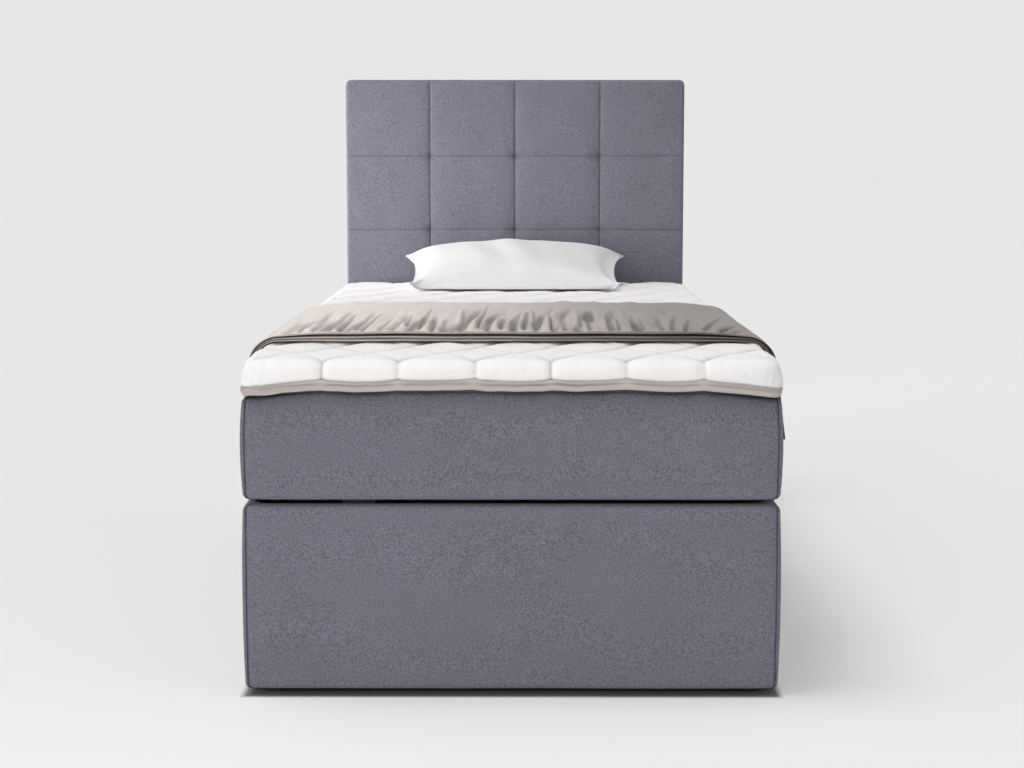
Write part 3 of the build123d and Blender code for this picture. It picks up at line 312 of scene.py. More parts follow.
def rolled_sheet(half, span, corner, roll, drop, step, fine, columns=(), rows=(), finer_until=None):
    """A sheet laid over a flat block and rolled over its edges, as local points (a, b, c), outward normals
    and cloth coordinates.

    The flat lies at c = 0. Beyond the flat the cloth coordinate's excess is mapped from a square to a disc,
    so that the corners come out round; along the excess the section runs flat, then round a quarter circle,
    then down. columns and rows get closer points beside them; beyond finer_until the rows lie twice as far
    apart.
    """
    flat = corner - roll
    reach = flat + roll * pi / 2 + drop

    def stations(low, high):
        inner = np.linspace(low, high, max(2, int(round((high - low) / step)) + 1))
        edge = np.linspace(0, reach, int(round(reach / fine)) + 1)[1:]
        return np.concatenate([low - edge[::-1], inner, high + edge])

    low_b, high_b = span
    s = stations(-(half - corner), half - corner)
    t = stations(low_b + corner, high_b - corner)
    offsets = [1.2 * MM, 2.6 * MM, 4.5 * MM, 7.5 * MM]
    s = with_lines(s, columns, offsets) if len(columns) else s
    t = with_lines(t, rows, offsets) if len(rows) else t
    if finer_until is not None:
        thinned = (t > finer_until) & (t < high_b - corner - roll) & (np.arange(len(t)) % 3 > 0)
        t = t[~thinned]
    s, t = np.meshgrid(s, t, indexing="ij")
    core_a = np.clip(s, -(half - corner), half - corner)
    core_b = np.clip(t, low_b + corner, high_b - corner)
    p, q = (s - core_a) / reach, (t - core_b) / reach
    p, q = p * np.sqrt(1 - q**2 / 2), q * np.sqrt(1 - p**2 / 2)
    length = np.hypot(p, q)
    way_a, way_b = p / np.maximum(length, 1e-9), q / np.maximum(length, 1e-9)
    along = length * reach
    angle = np.clip((along - flat) / roll, 0, pi / 2)
    out = np.minimum(along, flat) + roll * np.sin(angle)
    down = roll * (1 - np.cos(angle)) + np.maximum(along - flat - roll * pi / 2, 0)
    points = np.stack([core_a + way_a * out, core_b + way_b * out, -down], axis=-1)
    normals = np.stack([way_a * np.sin(angle), way_b * np.sin(angle), np.cos(angle)], axis=-1)
    return points, normals, np.stack([s, t], axis=-1), reach - along


# Helpers for materials
class Value:
    """A number, vector or colour that a node tree works out; arithmetic with it adds Math nodes."""

    def __init__(self, tree, socket):
        self.tree, self.socket = tree, socket

    def through(self, operation, *others, before=()):
        """One step of a Math node, with this value between those before it and the others."""
        values = dict(enumerate((*before, self, *others)))
        return Value(self.tree, add_node(self.tree, "ShaderNodeMath", values, operation=operation).outputs[0])

    def __add__(self, other):
        return self.through("ADD", other)

    def __sub__(self, other):
        return self.through("SUBTRACT", other)

    def __mul__(self, other):
        return self.through("MULTIPLY", other)

    def __rsub__(self, other):
        return self.through("SUBTRACT", before=(other,))

    def __rtruediv__(self, other):
        return self.through("DIVIDE", before=(other,))


def add_node(tree, kind, inputs=None, **settings):
    """Adds a node; inputs maps a socket's name or number to a plain value, a Value or another node's
    output."""
    made = tree.nodes.new(kind)
    for key, value in settings.items():
        setattr(made, key, value)
    for key, value in (inputs or {}).items():
        value = value.socket if isinstance(value, Value) else value
        if isinstance(value, bpy.types.NodeSocket):
            tree.links.new(value, made.inputs[key])
        else:
            made.inputs[key].default_value = value
    return made


def grow(tree, place, scale, detail=2.0, rough=0.5, warp=0.0):
    """A noise value over a place, about 0.5 in the middle."""
    inputs = {"Vector": place, "Scale": scale, "Detail": detail, "Roughness": rough, "Distortion": warp}
    return Value(tree, add_node(tree, "ShaderNodeTexNoise", inputs).outputs[0])


def scaled(tree, vector, factor):
    """A vector made longer or shorter, or a colour made lighter or darker, by a factor."""
    return add_node(tree, "ShaderNodeVectorMath", {0: vector, "Scale": factor}, operation="SCALE").outputs[0]


def new_group(name, **defaults):
    """An empty shader node group that reads Place and Colour and puts out Colour, Height and Roughness.

    The defaults are its other inputs: a number, or None for a vector.
    """
    group = bpy.data.node_groups.new(name, "ShaderNodeTree")
    inputs = {"Place": None, "Colour": (0.5, 0.5, 0.5, 1)}
    inputs |= {title.replace("_", " ").capitalize(): value for title, value in defaults.items()}
    for title, value in inputs.items():
        kind = "Vector" if value is None else "Color" if isinstance(value, tuple) else "Float"
        socket = group.interface.new_socket(name=title, in_out="INPUT", socket_type=f"NodeSocket{kind}")
        if value is not None:
            socket.default_value = value
    for title, kind in (("Colour", "Color"), ("Height", "Float"), ("Roughness", "Float")):
        group.interface.new_socket(name=title, in_out="OUTPUT", socket_type=f"NodeSocket{kind}")
    given = group.nodes.new("NodeGroupInput").outputs
    return group, {title: Value(group, given[title]) for title in inputs}


def give(group, tint, factor, height, roughness):
    """Puts out a tint made lighter or darker by a factor, the height and the roughness."""
    outputs = {"Colour": scaled(group, tint, factor), "Height": height, "Roughness": roughness}
    add_node(group, "NodeGroupOutput", outputs)
    return group


def make_weave_group():
    """Woven or knitted cloth: warp and weft threads that cross in turn, with mottled yarn and slow shade
    changes; the Crease input darkens the colour as a painted shade."""
    group, given = new_group(
        "woven cloth", cloth=None, thread=0.0012, melange=0.1,
        fleck_size=0.003, clouds=0.05, crease=0.0, roughness=0.9,
    )
    place, melange = given["Place"], given["Melange"]
    parts = add_node(group, "ShaderNodeSeparateXYZ", {0: scaled(group, given["Cloth"], 1.0 / given["Thread"])})
    warp, weft = ((Value(group, parts.outputs[i]) * pi).through("SINE") for i in range(2))
    turn = (warp * weft).through("GREATER_THAN", 0.0)
    threads = {0: turn, 2: warp.through("ABSOLUTE"), 3: weft.through("ABSOLUTE")}
    weave = Value(group, add_node(group, "ShaderNodeMix", threads).outputs[0])
    flecks = 1.0 / given["Fleck size"]
    fleck = grow(group, place, flecks, 2.5, 0.65)
    mottle = fleck * 0.7 + grow(group, place, flecks * 3.1, 1.0) * 0.3
    shade = (grow(group, place, 5.0) - 0.5) * given["Clouds"]
    factor = (mottle - 0.5) * melange + shade + ((weave - 0.6) * (melange * 0.2) + 1.0)
    # painted shade: the colour is darkened by the point's share from its crease attribute
    factor = factor * (1.0 - given["Crease"])
    height = weave * 0.5 + mottle * 0.5
    return give(group, given["Colour"], factor, height, given["Roughness"] + (fleck - 0.5) * 0.12)


def make_wood_group():
    """Sawn wood or pressed board: streaks along the grain, pores, and chips where Chips is above 0."""
    group, given = new_group("wood and board", rings=30.0, streaks=0.3, chips=0.0, roughness=0.65)
    place, rings, streaks = given["Place"], given["Rings"], given["Streaks"]
    grain = (grow(group, place, rings, 4.0, 0.6, 0.4) - 0.5) * streaks
    pores = grow(group, place, rings * 9.0)
    cells = add_node(group, "ShaderNodeTexVoronoi", {"Vector": place, "Scale": 220.0}).outputs["Color"]
    shade = Value(group, add_node(group, "ShaderNodeSeparateColor", {0: cells}).outputs[0])
    chip = (shade - 0.5) * given["Chips"]
    factor = grain + (pores - 0.5) * (streaks * 0.5) + (chip + 1.0)
    height = pores * 0.6 + chip * 0.8
    return give(group, given["Colour"], factor, height, given["Roughness"] + (pores - 0.5) * 0.2)


def make_moulded_group():
    """Metal, plastic, rubber or foam: fine grain, handling marks in long streaks, and dust in slow clouds."""
    group, given = new_group("moulded or rolled", grain=600.0, marks=0.1, dust=0.05, roughness=0.4)
    place = given["Place"]
    streaked = add_node(group, "ShaderNodeMapping", {"Vector": place, "Scale": (900.0, 40.0, 900.0)}).outputs[0]
    mark = (grow(group, streaked, 1.0, 3.0, 0.7) - 0.5) * given["Marks"]
    wear = mark + (grow(group, place, 14.0, 3.0) - 0.5) * given["Dust"]
    height = grow(group, place, given["Grain"])
    return give(group, given["Colour"], wear + 1.0, height, given["Roughness"] + wear * 0.8)


GROUP_MAKERS = {"weave": make_weave_group, "wood": make_wood_group, "moulded": make_moulded_group}
groups, finishes = {}, {}


def finish(name, pattern, tint, bump, depth, stretch=None, shader=None, **values):
    """A material: one pattern group feeds the Principled shader's colour, roughness and bump.

    stretch scales the object coordinates first, so that a grain runs long in one direction.
    """
    if name in finishes:
        return finishes[name]
    if pattern not in groups:
        groups[pattern] = GROUP_MAKERS[pattern]()
    material = bpy.data.materials.new(name)
    material.use_nodes = True
    tree = material.node_tree
    tree.nodes.clear()
    place = add_node(tree, "ShaderNodeTexCoord").outputs["Object"]
    if stretch:
        place = add_node(tree, "ShaderNodeMapping", {"Vector": place, "Scale": stretch}).outputs[0]
    inputs = {"Place": place, "Colour": (*tint, 1)}
    if pattern == "weave":
        inputs["Cloth"] = add_node(tree, "ShaderNodeUVMap", uv_map="cloth").outputs[0]
        # each point's share of painted shade, read from its crease attribute
        inputs["Crease"] = add_node(tree, "ShaderNodeAttribute", attribute_name="crease").outputs["Fac"]
    inputs |= {key.replace("_", " ").capitalize(): value for key, value in values.items()}
    painted = add_node(tree, "ShaderNodeGroup", inputs, node_tree=groups[pattern]).outputs
    relief = add_node(tree, "ShaderNodeBump", {"Strength": bump, "Distance": depth, "Height": painted["Height"]})
    inputs = {"Base Color": painted["Colour"], "Roughness": painted["Roughness"], "Normal": relief.outputs[0]}
    surface = add_node(tree, "ShaderNodeBsdfPrincipled", inputs | (shader or {}))
    add_node(tree, "ShaderNodeOutputMaterial", {"Surface": surface.outputs[0]})
    finishes[name] = material
    return material


# Of each cloth: its colour or the user's colour for it, bump, bump depth, then sheen, sheen roughness and
# specular level where they are set, then thread, melange, fleck size, clouds and roughness
CLOTHS = {
    "melange weave": ("upholstery", 0.5, 0.0006, (0.12, 0.6, 0.2), (0.0016, 3.1, 0.0026, 0.14, 0.92)),
    "white ticking": ("ticking", 0.35, 0.0005, (0.1, None, 0.25), (0.0016, 0.05, 0.004, 0.02, 0.85)),
    "border band cloth": ("band", 0.35, 0.0005, (0.1, None, 0.2), (0.0015, 0.10, 0.004, 0.05, 0.9)),
    "taupe satin": ("satin", 0.2, 0.0003, (0.02, 0.3, 0.15), (0.0007, 0.06, 0.005, 0.05, 0.50)),
    "white cotton": ("cotton", 0.3, 0.0004, (0.08, None, 0.25), (0.0009, 0.04, 0.004, 0.02, 0.82)),
    "dark webbing": ((0.085, 0.085, 0.1), 0.6, 0.0006, (None, None, None), (0.0022, 0.3, 0.002, 0.05, 0.8)),
    "black non-woven": ((0.022, 0.022, 0.022), 0.5, 0.0004, (None, None, None), (0.003, 0.5, 0.0015, 0.3, 0.95)),
}


def cloth_finish(name):
    """The material of a cloth, from its row in the table."""
    tint, bump, depth, sheen, yarn = CLOTHS[name]
    if isinstance(tint, str):
        tint = getattr(bpy.context.scene.bed_colours, tint)
    sockets = zip(("Sheen Weight", "Sheen Roughness", "Specular IOR Level"), sheen)
    shader = {socket: value for socket, value in sockets if value is not None}
    values = dict(zip(("thread", "melange", "fleck_size", "clouds", "roughness"), yarn))
    return finish(name, "weave", tint, bump, depth, shader=shader, **values)


# Padded covers of the two boxes
def skin_section(low_z, high_z, crown, low_round, high_round, lip):
    """Section of a padded side from its lower lip, round the lower edge, up the crowned face, round the
    upper edge and in along the upper lip. Gives the inset from the widest plan and the height."""
    low, high = crown + low_round, crown + high_round
    turn = np.linspace(0, pi / 2, 10)
    face = np.linspace(0, 1, 46)[1:-1]
    inset = [
        np.linspace(lip, low, 6)[:-1],
        low - low_round * np.sin(turn),
        crown * (2 * face - 1) ** 2,
        high - high_round * np.cos(turn),
        np.linspace(high, lip, 6)[1:],
    ]
    height = [
        np.full(5, low_z),
        low_z + low_round * (1 - np.cos(turn)),
        lerp(low_z + low_round, high_z - high_round, face),
        high_z - high_round + high_round * np.sin(turn),
        np.full(5, high_z),
    ]
    return np.concatenate(inset), np.concatenate(height)


def seam_line(inset, seam):
    """How far out the corner seam runs on the end face: straight on the face, mitred along the lips."""
    return seam - 0.8 * inset


def closer_to_ends(t):
    """Stations from -1 to 1 that lie closer together towards both ends: one minus a power of the way from
    the end."""
    return np.sign(t) * (1 - (1 - abs(t)) ** 1.45)


def end_rings(inset, span, seam, end):
    """Rings of an end cover: across the bed from seam to seam, one ring for every inset."""
    x = closer_to_ends(np.linspace(-1, 1, 150)[:, None]) * seam_line(inset, seam)
    y = np.where(end < 0, span[0] + inset, span[1] - inset) + 0 * x
    normal = np.broadcast_to([0.0, float(end)], (*x.shape, 2))
    return np.stack([x, y], axis=-1), normal


def side_rings(inset, half, span, seam, side):
    """Rings of a side cover: from the foot seam round the corner, along the side, and round to the head
    seam."""
    reach = seam_line(inset, seam)[None, :]
    radius = np.maximum(COVER_TURN - inset, 1.0 * MM)[None, :]
    out = half - inset[None, :]
    front, back = span[0] + inset[None, :], span[1] - inset[None, :]
    turn = np.linspace(-pi / 2, 0, 7)[:, None]
    run = 0.5 + 0.5 * closer_to_ends(np.linspace(-1, 1, 300)[:, None])
    step = np.linspace(0, 1, 4)[:-1, None]
    centre, back_turn, run = out - radius, -turn[::-1], run[1:-1]
    pieces = [
        (lerp(reach, centre, step), front + 0 * step, -pi / 2 + 0 * step),
        (centre + radius * np.cos(turn), front + radius + radius * np.sin(turn), turn),
        (out + 0 * run, lerp(front + radius, back - radius, run), 0 * run),
        (centre + radius * np.cos(back_turn), back - radius + radius * np.sin(back_turn), back_turn),
        (lerp(centre, reach, step + 1 / 3), back + 0 * step, pi / 2 + 0 * step),
    ]
    x, y, angle = (np.concatenate([p[i] + 0 * reach for p in pieces]) for i in range(3))
    normal = np.stack([side * np.cos(angle), np.sin(angle)], axis=-1)
    return np.stack([side * x, y], axis=-1), normal


def hem_wave(x, y):
    """How far the topper's hem hangs below its usual level: slow waves along the edge, a droop at the
    corners, and a sag |sin| between the seams at both ends."""
    sizes = bpy.context.scene.bed_quilt
    corner_x, corner_y = TOPPER_CORNER_PLACE
    corner = bell(np.hypot(abs(x) - corner_x, abs(y) - corner_y), 0.075)
    ends = ease(abs(x), 0.46, 0.40) * ease(abs(y), 0.85, 0.93)
    sag = abs(np.sin(pi * (x - sizes.shift) / sizes.pitch)) ** 0.8
    sag = sag * (1 + 0.5 * waves(x, 0 * y, 0.2, 0.6, 4, HEM_SEED + 1))
    slow = 0.8 * MM * waves(x, y, 0.14, 0.4, 7, HEM_SEED)
    return slow + sizes.corner_droop * corner + sizes.scallop * sag * ends


def rim_level(x, y):
    """Height of the upper box's rim, which swells up beside the topper to just under the topper's border."""
    sizes = bpy.context.scene.bed_quilt
    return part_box("topper_border")[0].z + sizes.band_bottom - hem_wave(x, y) - 2 * MM


def round_foot_corners(points, half, foot, radius):
    """Rounds both foot corners of a square plan: inside the corner's own square, p across and q along from
    the arc's centre, a point is drawn in by max(p, q) / hypot(p, q)."""
    p = abs(points[..., 0]) - (half - radius)
    q = foot + radius - points[..., 1]
    within = (p > 0) & (q > 0)
    share = np.where(within, np.maximum(p, q) / np.maximum(np.hypot(p, q), 1e-9), 1)
    x = np.where(within, half - radius + p * share, abs(points[..., 0]))
    y = np.where(within, foot + radius - q * share, points[..., 1])
    return np.stack([np.sign(points[..., 0]) * x, y, points[..., 2]], axis=-1)


def padded_cover(name, rings, section, lip_low, lip_high, seed, corner, rim=None):
    """One padded cover: its rings are lifted to the section's heights and pushed out by the padding's slow
    waves, drawn in along both seams, and puckered beside them; the inner side lies on the board. rim gives
    the height of the upper edge where that swells."""
    sizes = bpy.context.scene.bed_upholstery
    inset, height = section
    low_z, high_z = height[0], height[-1]
    plan, normal = rings(inset)
    outer = np.concatenate([plan, np.broadcast_to(height[None, :, None], (*plan.shape[:2], 1))], axis=-1)
    along, up = arc_length(outer, 0), arc_length(outer, 1)
    seam = np.minimum(along, along[-1:] - along)
    on_face = ease(0.022 - inset, 0, 0.010)[None, :]
    push = -sizes.seam_depth * np.exp(-((seam / sizes.seam_width) ** 1.3))
    push = push + sizes.unevenness * waves(along, up, 0.12, 0.5, 9, seed) * ease(seam, 0.0, 0.05) * on_face
    push = push - sizes.corner_ease * np.exp(-((seam / 0.017) ** 1.4)) * (abs(normal[..., 1]) > 0.99) * on_face
    pucker = waves(seam, up, 0.010, 0.022, 7, seed + 1, 0.5) * fade(seam, 0.012) * ease(seam, 0, 0.003)
    push = push + sizes.pucker * pucker * on_face
    outer[..., :2] += normal * push[..., None] * np.minimum(on_face + 0.25, 1)[..., None]
    radius = sizes.corner_radius + 6 * MM * ease(height, high_z - 60 * MM, high_z) * (rim is not None)
    shade = 0.0
    if rim is not None:
        level = rim(outer[..., 0], outer[..., 1])
        swell = ease(inset, 10.5 * MM, 6.5 * MM) * ease(height, high_z - 24 * MM, high_z - 3 * MM)
        outer[..., 2] += swell[None, :] * np.maximum(level - high_z, -6 * MM)
        # painted shadow: the cloth just under the swelling rim is darkened where the topper's border overhangs it
        below = np.maximum(level - outer[..., 2], 0)
        shade = 0.55 * fade(below, 0.013) + 0.35 * fade(below, 0.003)
    outer = round_foot_corners(outer, *corner, radius[None, :])
    inner_plan, _ = rings(np.maximum(inset, EDGE_BOARD))
    inner_z = np.clip(height, low_z + lip_low, high_z - lip_high)
    inner = np.concatenate([inner_plan, np.broadcast_to(inner_z[None, :, None], (*plan.shape[:2], 1))], axis=-1)
    # painted shade in the corner seams, together with the painted shadow under the rim
    line = np.maximum(0.35 * bell(seam, 1.6 * MM) * on_face, shade)
    piece = closed_shell(name, outer, inner, cloth_finish("melange weave"), np.stack([along, up], axis=-1), line)
    return piece


def box_covers(body, nodes, section, lip_low, lip_high, seed, rim=None):
    """The four covers of one padded box, in the order foot, head, left, right."""
    low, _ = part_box(nodes[0])
    _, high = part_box(nodes[1])
    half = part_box(nodes[3])[1].x
    span = (low.y, high.y)
    seam = half - 3.5 * MM
    ends = [partial(end_rings, span=span, seam=seam, end=end) for end in (-1, 1)]
    sides = [partial(side_rings, half=half, span=span, seam=seam, side=side) for side in (-1, 1)]
    for number, (node, rings) in enumerate(zip(nodes, ends + sides)):
        corner = (half, span[0])
        piece = padded_cover(f"padded_{node}", rings, section, lip_low, lip_high, seed + 10 * number, corner, rim)
        settle(piece, body, "upholstery_fabric", node)


class BED_OT_base_covers(bpy.types.Operator):
    """Makes the four padded covers of the storage base."""

    bl_idname = "bed.base_covers"
    bl_label = "Base covers"

    def execute(self, context):
        low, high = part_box("base_foot_cover")
        section = skin_section(low.z, high.z, crown=3 * MM, low_round=10 * MM, high_round=10 * MM, lip=28 * MM)
        nodes = ("base_foot_cover", "base_head_cover", "base_left_cover", "base_right_cover")
        box_covers("base", nodes, section, lip_low=3 * MM, lip_high=3 * MM, seed=100)
        return {"FINISHED"}


class BED_OT_mattress_covers(bpy.types.Operator):
    """Makes the four padded covers of the upper box."""

    bl_idname = "bed.mattress_covers"
    bl_label = "Upper box covers"

    def execute(self, context):
        low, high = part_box("mattress_foot_border")
        section = skin_section(low.z, high.z, crown=3 * MM, low_round=13 * MM, high_round=9 * MM, lip=28 * MM)
        nodes = ("mattress_foot_border", "mattress_head_border", "mattress_left_border", "mattress_right_border")
        box_covers("lid", nodes, section, lip_low=3 * MM, lip_high=8 * MM, seed=200, rim=rim_level)
        return {"FINISHED"}


# Headboard
class BED_OT_headboard(bpy.types.Operator):
    """Makes the tufted cushion of the headboard."""

    bl_idname = "bed.headboard"
    bl_label = "Headboard cushion"

    def execute(self, context):
        sizes = context.scene.bed_upholstery
        low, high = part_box("headboard_cushion")
        half = high.x
        depth = high.y - low.y
        roll = 10 * MM
        columns = (-PAD_WIDTH, 0.0, PAD_WIDTH)
        rows = [high.z - TOP_PAD_HEIGHT - number * PAD_HEIGHT for number in range(3)]
        drop = depth - roll - 0.6 * MM
        points, normals, cloth, rim = rolled_sheet(
            half, (low.z, high.z), 16 * MM, roll, drop, step=5 * MM, fine=3.2 * MM, columns=columns, rows=rows
        )
        x, z = np.clip(cloth[..., 0], -half, half), np.clip(cloth[..., 1], low.z, high.z)
        near_column = np.min([abs(x - c) for c in columns], axis=0)
        near_row = np.min([abs(z - r) for r in rows], axis=0)
        across = 0.35 * fade(near_column, sizes.stitch_width) + 0.65 * fade(near_column, sizes.tuft_width)
        upward = 0.30 * fade(near_row, sizes.stitch_width) + 0.25 * fade(near_row, sizes.tuft_width)
        drawn = sizes.tuft_depth * (across + upward - across * upward)
        knot = np.hypot(near_column, near_row * 1.1)
        tied = (abs(x) < 0.3) & (z < rows[0] + 0.09)
        turn = np.arctan2(near_row, near_column)
        drawn += sizes.knot_depth * fade(knot, 0.013) * tied
        creases = np.cos(6 * turn + 9 * waves(x, z, 0.2, 0.5, 3, 31)) * (knot / 0.016) * fade(knot, 0.018)
        drawn += 1.3 * MM * creases * tied
        across = 1 - abs(1 - near_column / (PAD_WIDTH / 2)) ** 2.6
        upward = 1 - abs(1 - near_row / (PAD_HEIGHT / 2)) ** 2.6 * ease(z, rows[2] - 0.10, rows[2] - 0.02)
        drawn += sizes.pad_crown * (1 - across * upward)
        drawn += 0.5 * MM * (1 + waves(x, z, 0.05, 0.16, 12, 32))
        for near, run, seed in ((near_row, x, 33), (near_column, z, 34)):
            gathers = waves(near, run, 0.012, 0.024, 6, seed, 0.6) * fade(near, 0.012) * ease(near, 0, 0.004)
            drawn -= sizes.pucker * gathers
        drawn *= ease(rim, 0.0, 0.02)
        # painted shade: a thin dark line along every seam and a dark patch at each tied knot
        painted_seam_shade = np.maximum(bell(near_column, 1.1 * MM), bell(near_row, 1.1 * MM))
        line = np.maximum(0.30 * painted_seam_shade * ease(rim, 0, 0.01), 0.42 * fade(knot, 0.007) * tied)
        outer = points - normals * drawn[..., None]
        inner = points - normals * 5 * MM - normals * drawn[..., None]
        inner[..., 2] = np.minimum(inner[..., 2], -24 * MM)
        outer, inner = (np.stack([p[..., 0], low.y - p[..., 2], p[..., 1]], axis=-1) for p in (outer, inner))
        cushion = closed_shell("tufted_cushion", outer, inner, cloth_finish("melange weave"), cloth, line)
        settle(cushion, "base", "upholstery_fabric", "headboard_cushion")
        return {"FINISHED"}


def rounded_ring(half, span, radius, count_long, count_corner):
    """Plan of a rectangle with round corners, as points and outward normals, once round against the clock."""
    across, front, back = half - radius, span[0] + radius, span[1] - radius
    corners = ((across, front), (across, back), (-across, back), (-across, front))
    points, normals = [], []
    for number, (a, b) in enumerate(corners):
        turn = np.linspace(0, pi / 2, count_corner) + (number - 1) * pi / 2
        way = np.stack([np.cos(turn), np.sin(turn)], axis=-1)
        arc = np.array([a, b]) + radius * way
        after = corners[(number + 1) % 4]
        last = np.array([cos(turn[-1]), sin(turn[-1])])
        start, stop = arc[-1], np.array(after) + radius * last
        count = max(3, int(count_long * np.linalg.norm(stop - start)))
        run = np.linspace(0, 1, count)[1:-1, None]
        points += [arc, lerp(start, stop, run)]
        normals += [way, np.broadcast_to(last, (len(run), 2))]
    return np.concatenate(points), np.concatenate(normals)


def band_section(low, high, thick, bulge, rounding):
    """Closed section of a padded band between two levels: a bulging outer face with rounded edges and a
    flat back."""
    face = np.linspace(-1, 1, 17)
    out = bulge * (1 - face**2) - rounding * abs(face) ** 8
    level = lerp(low, high, (face + 1) / 2)
    back = np.linspace(1, -1, 7)
    return np.concatenate([out, np.full(7, -thick)]), np.concatenate([level, lerp(low, high, (back + 1) / 2)])


class BED_OT_headboard_shell(bpy.types.Operator):
    """Makes the band round the headboard's edge and the cloth on its back."""

    bl_idname = "bed.headboard_shell"
    bl_label = "Headboard border and back"

    def execute(self, context):
        low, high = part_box("headboard_border")
        plan, normal = rounded_ring(high.x, (low.z, high.z), 12 * MM, count_long=130, count_corner=9)
        out, level = band_section(low.y + 0.6 * MM, high.y, thick=5.6 * MM, bulge=0.6 * MM, rounding=1.6 * MM)
        out = out - 0.6 * MM
        along = arc_length(plan, 0)[:, None]
        wave = 0.5 * MM * waves(along + 0 * level, level + 0 * along, 0.05, 0.2, 8, 41) * (out > -3 * MM)
        reach = out[None, :] + wave
        flat = plan[:, None] + normal[:, None] * reach[..., None]
        grid = np.stack([flat[..., 0], level[None, :] + 0 * reach, flat[..., 1]], axis=-1)
        band = closed_ring("headboard_band", grid, cloth_finish("melange weave"))
        settle(band, "base", "upholstery_fabric", "headboard_border")
        low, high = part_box("headboard_back_cover")
        points, normals, cloth, rim = rolled_sheet(
            high.x - 0.3 * MM, (low.z, high.z), 12 * MM, 2.2 * MM, 0.1 * MM, step=14 * MM, fine=2 * MM
        )
        waviness = 0.4 * MM * (1 + waves(cloth[..., 0], cloth[..., 1], 0.08, 0.3, 8, 42)) * ease(rim, 0, 0.03)
        outer = points - normals * waviness[..., None]
        inner = points * [1, 1, 0] - np.array([0, 0, 2.4 * MM])
        outer, inner = (np.stack([-p[..., 0], high.y + p[..., 2], p[..., 1]], axis=-1) for p in (outer, inner))
        back = closed_shell("headboard_back_cloth", outer, inner, cloth_finish("melange weave"), cloth)
        settle(back, "base", "upholstery_fabric", "headboard_back_cover")
        return {"FINISHED"}


# Topper
def quilt_relief(s, t, half, foot, head):
    """Depth of the quilting from 0 in the seams to 1 on the cells, the distances to both families of seams,
    and the running coordinate of the creases.

    Two families of slanting seams cross in tall ogees: |sin| of the sum and of the difference of the cell
    coordinates, where the lengthwise one swings about its straight course by a sine. Past the last corners
    the coordinates stand still, so the seams run straight over the edge. The second family is drawn in
    less.
    """
    sizes = bpy.context.scene.bed_quilt
    a = (np.clip(s, -half + sizes.start, half - sizes.start) - sizes.shift) / sizes.pitch
    b = (np.clip(t, foot + sizes.start, head - sizes.start) - foot - sizes.start) / sizes.length
    swing = b - 0.25 * np.sin(2 * pi * b) / (2 * pi)
    one, two = abs(np.sin(pi * (a - swing))), abs(np.sin(pi * (a + swing)))
    width = sizes.pitch * sizes.length / hypot(sizes.pitch, sizes.length)
    end = np.minimum(t - foot, head - t)
    part = lerp(1, sizes.second, ease(end, sizes.start, sizes.start + 0.05))
    return (one * lerp(1, two, part)) ** 0.5, one * width / pi, two * width / pi, part, a + b


class BED_OT_topper_quilt(bpy.types.Operator):
    """Makes the quilted cover of the topper."""

    bl_idname = "bed.topper_quilt"
    bl_label = "Topper quilt"

    def execute(self, context):
        sizes = context.scene.bed_quilt
        low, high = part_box("topper_cover")
        roll = 26 * MM
        drop = high.z - (low.z - sizes.hem_drop) - roll
        points, normals, cloth, rim = rolled_sheet(
            high.x, (low.y, high.y), TOPPER_CORNER, roll, drop, 4.6 * MM, 3.4 * MM, finer_until=low.y + 0.34
        )
        s, t = cloth[..., 0], cloth[..., 1]
        relief, near_one, near_two, part, run = quilt_relief(s, t, high.x, low.y, high.y)
        near = np.minimum(near_one, near_two)
        valleys = [0.55 * fade(away, 3.6 * MM) + 0.45 * fade(away, 14 * MM) for away in (near_one, near_two)]
        drawn = sizes.puff * np.maximum(valleys[0], part * valleys[1]) * lerp(1, 0.72, ease(rim, 0.03, 0.09))
        drawn += 1.2 * MM * (1 - relief) + 0.7 * MM * (1 + waves(s, t, 0.05, 0.14, 14, 51)) * relief
        creases = waves(near, run * sizes.length, 0.010, 0.02, 7, 52, 0.8) * fade(near, 0.014)
        drawn += sizes.crease * (1 + creases) * ease(near, 0, 0.004)
        dents = waves(s, t * 0.6, 0.02, 0.05, 12, 53)
        corner = bell(np.hypot(abs(s) - 0.43, abs(t) - 1.05), 0.06)
        dents = np.maximum(dents - 0.7 + 0.7 * corner, 0) * (1 - ease(rim, 0.02, 0.07))
        drawn += (1.1 + 1.6 * corner) * MM * dents
        drawn = drawn * (1 - 0.6 * (1 - ease(rim, 0, 0.012))) + 1.5 * MM * (1 - ease(rim, 0, 0.010)) ** 2
        hang = hem_wave(points[..., 0], points[..., 1])
        lower = hang[..., None] * np.array([0, 0, 1]) * (1 - ease(rim, 0, 0.03))[..., None]
        # painted shade: thread darkens the quilted seam valleys, wider on the flat top and less towards the head,
        # and a painted shade darkens the hem's edge
        wide = lerp(1.6 * MM, 4.6 * MM, ease(rim, 0.035, 0.06))
        thread = np.maximum(bell(near_one, wide), part * bell(near_two, wide))
        line = 0.36 * thread * lerp(1, 0.5, ease(t, -0.3, 0.0)) + 0.12 * (1 - ease(rim, 0, 0.0035))
        outer = points - normals * drawn[..., None] - lower
        inner = points - normals * 13 * MM - lower
        inner[..., 2] = np.maximum(inner[..., 2], outer[..., 2].min())
        lift = np.array([0, 0, high.z])
        ticking = cloth_finish("white ticking")
        quilt = closed_shell("quilted_topper", outer + lift, inner + lift, ticking, cloth, line)
        settle(quilt, "lid", "topper_quilt", "topper_cover")
        return {"FINISHED"}


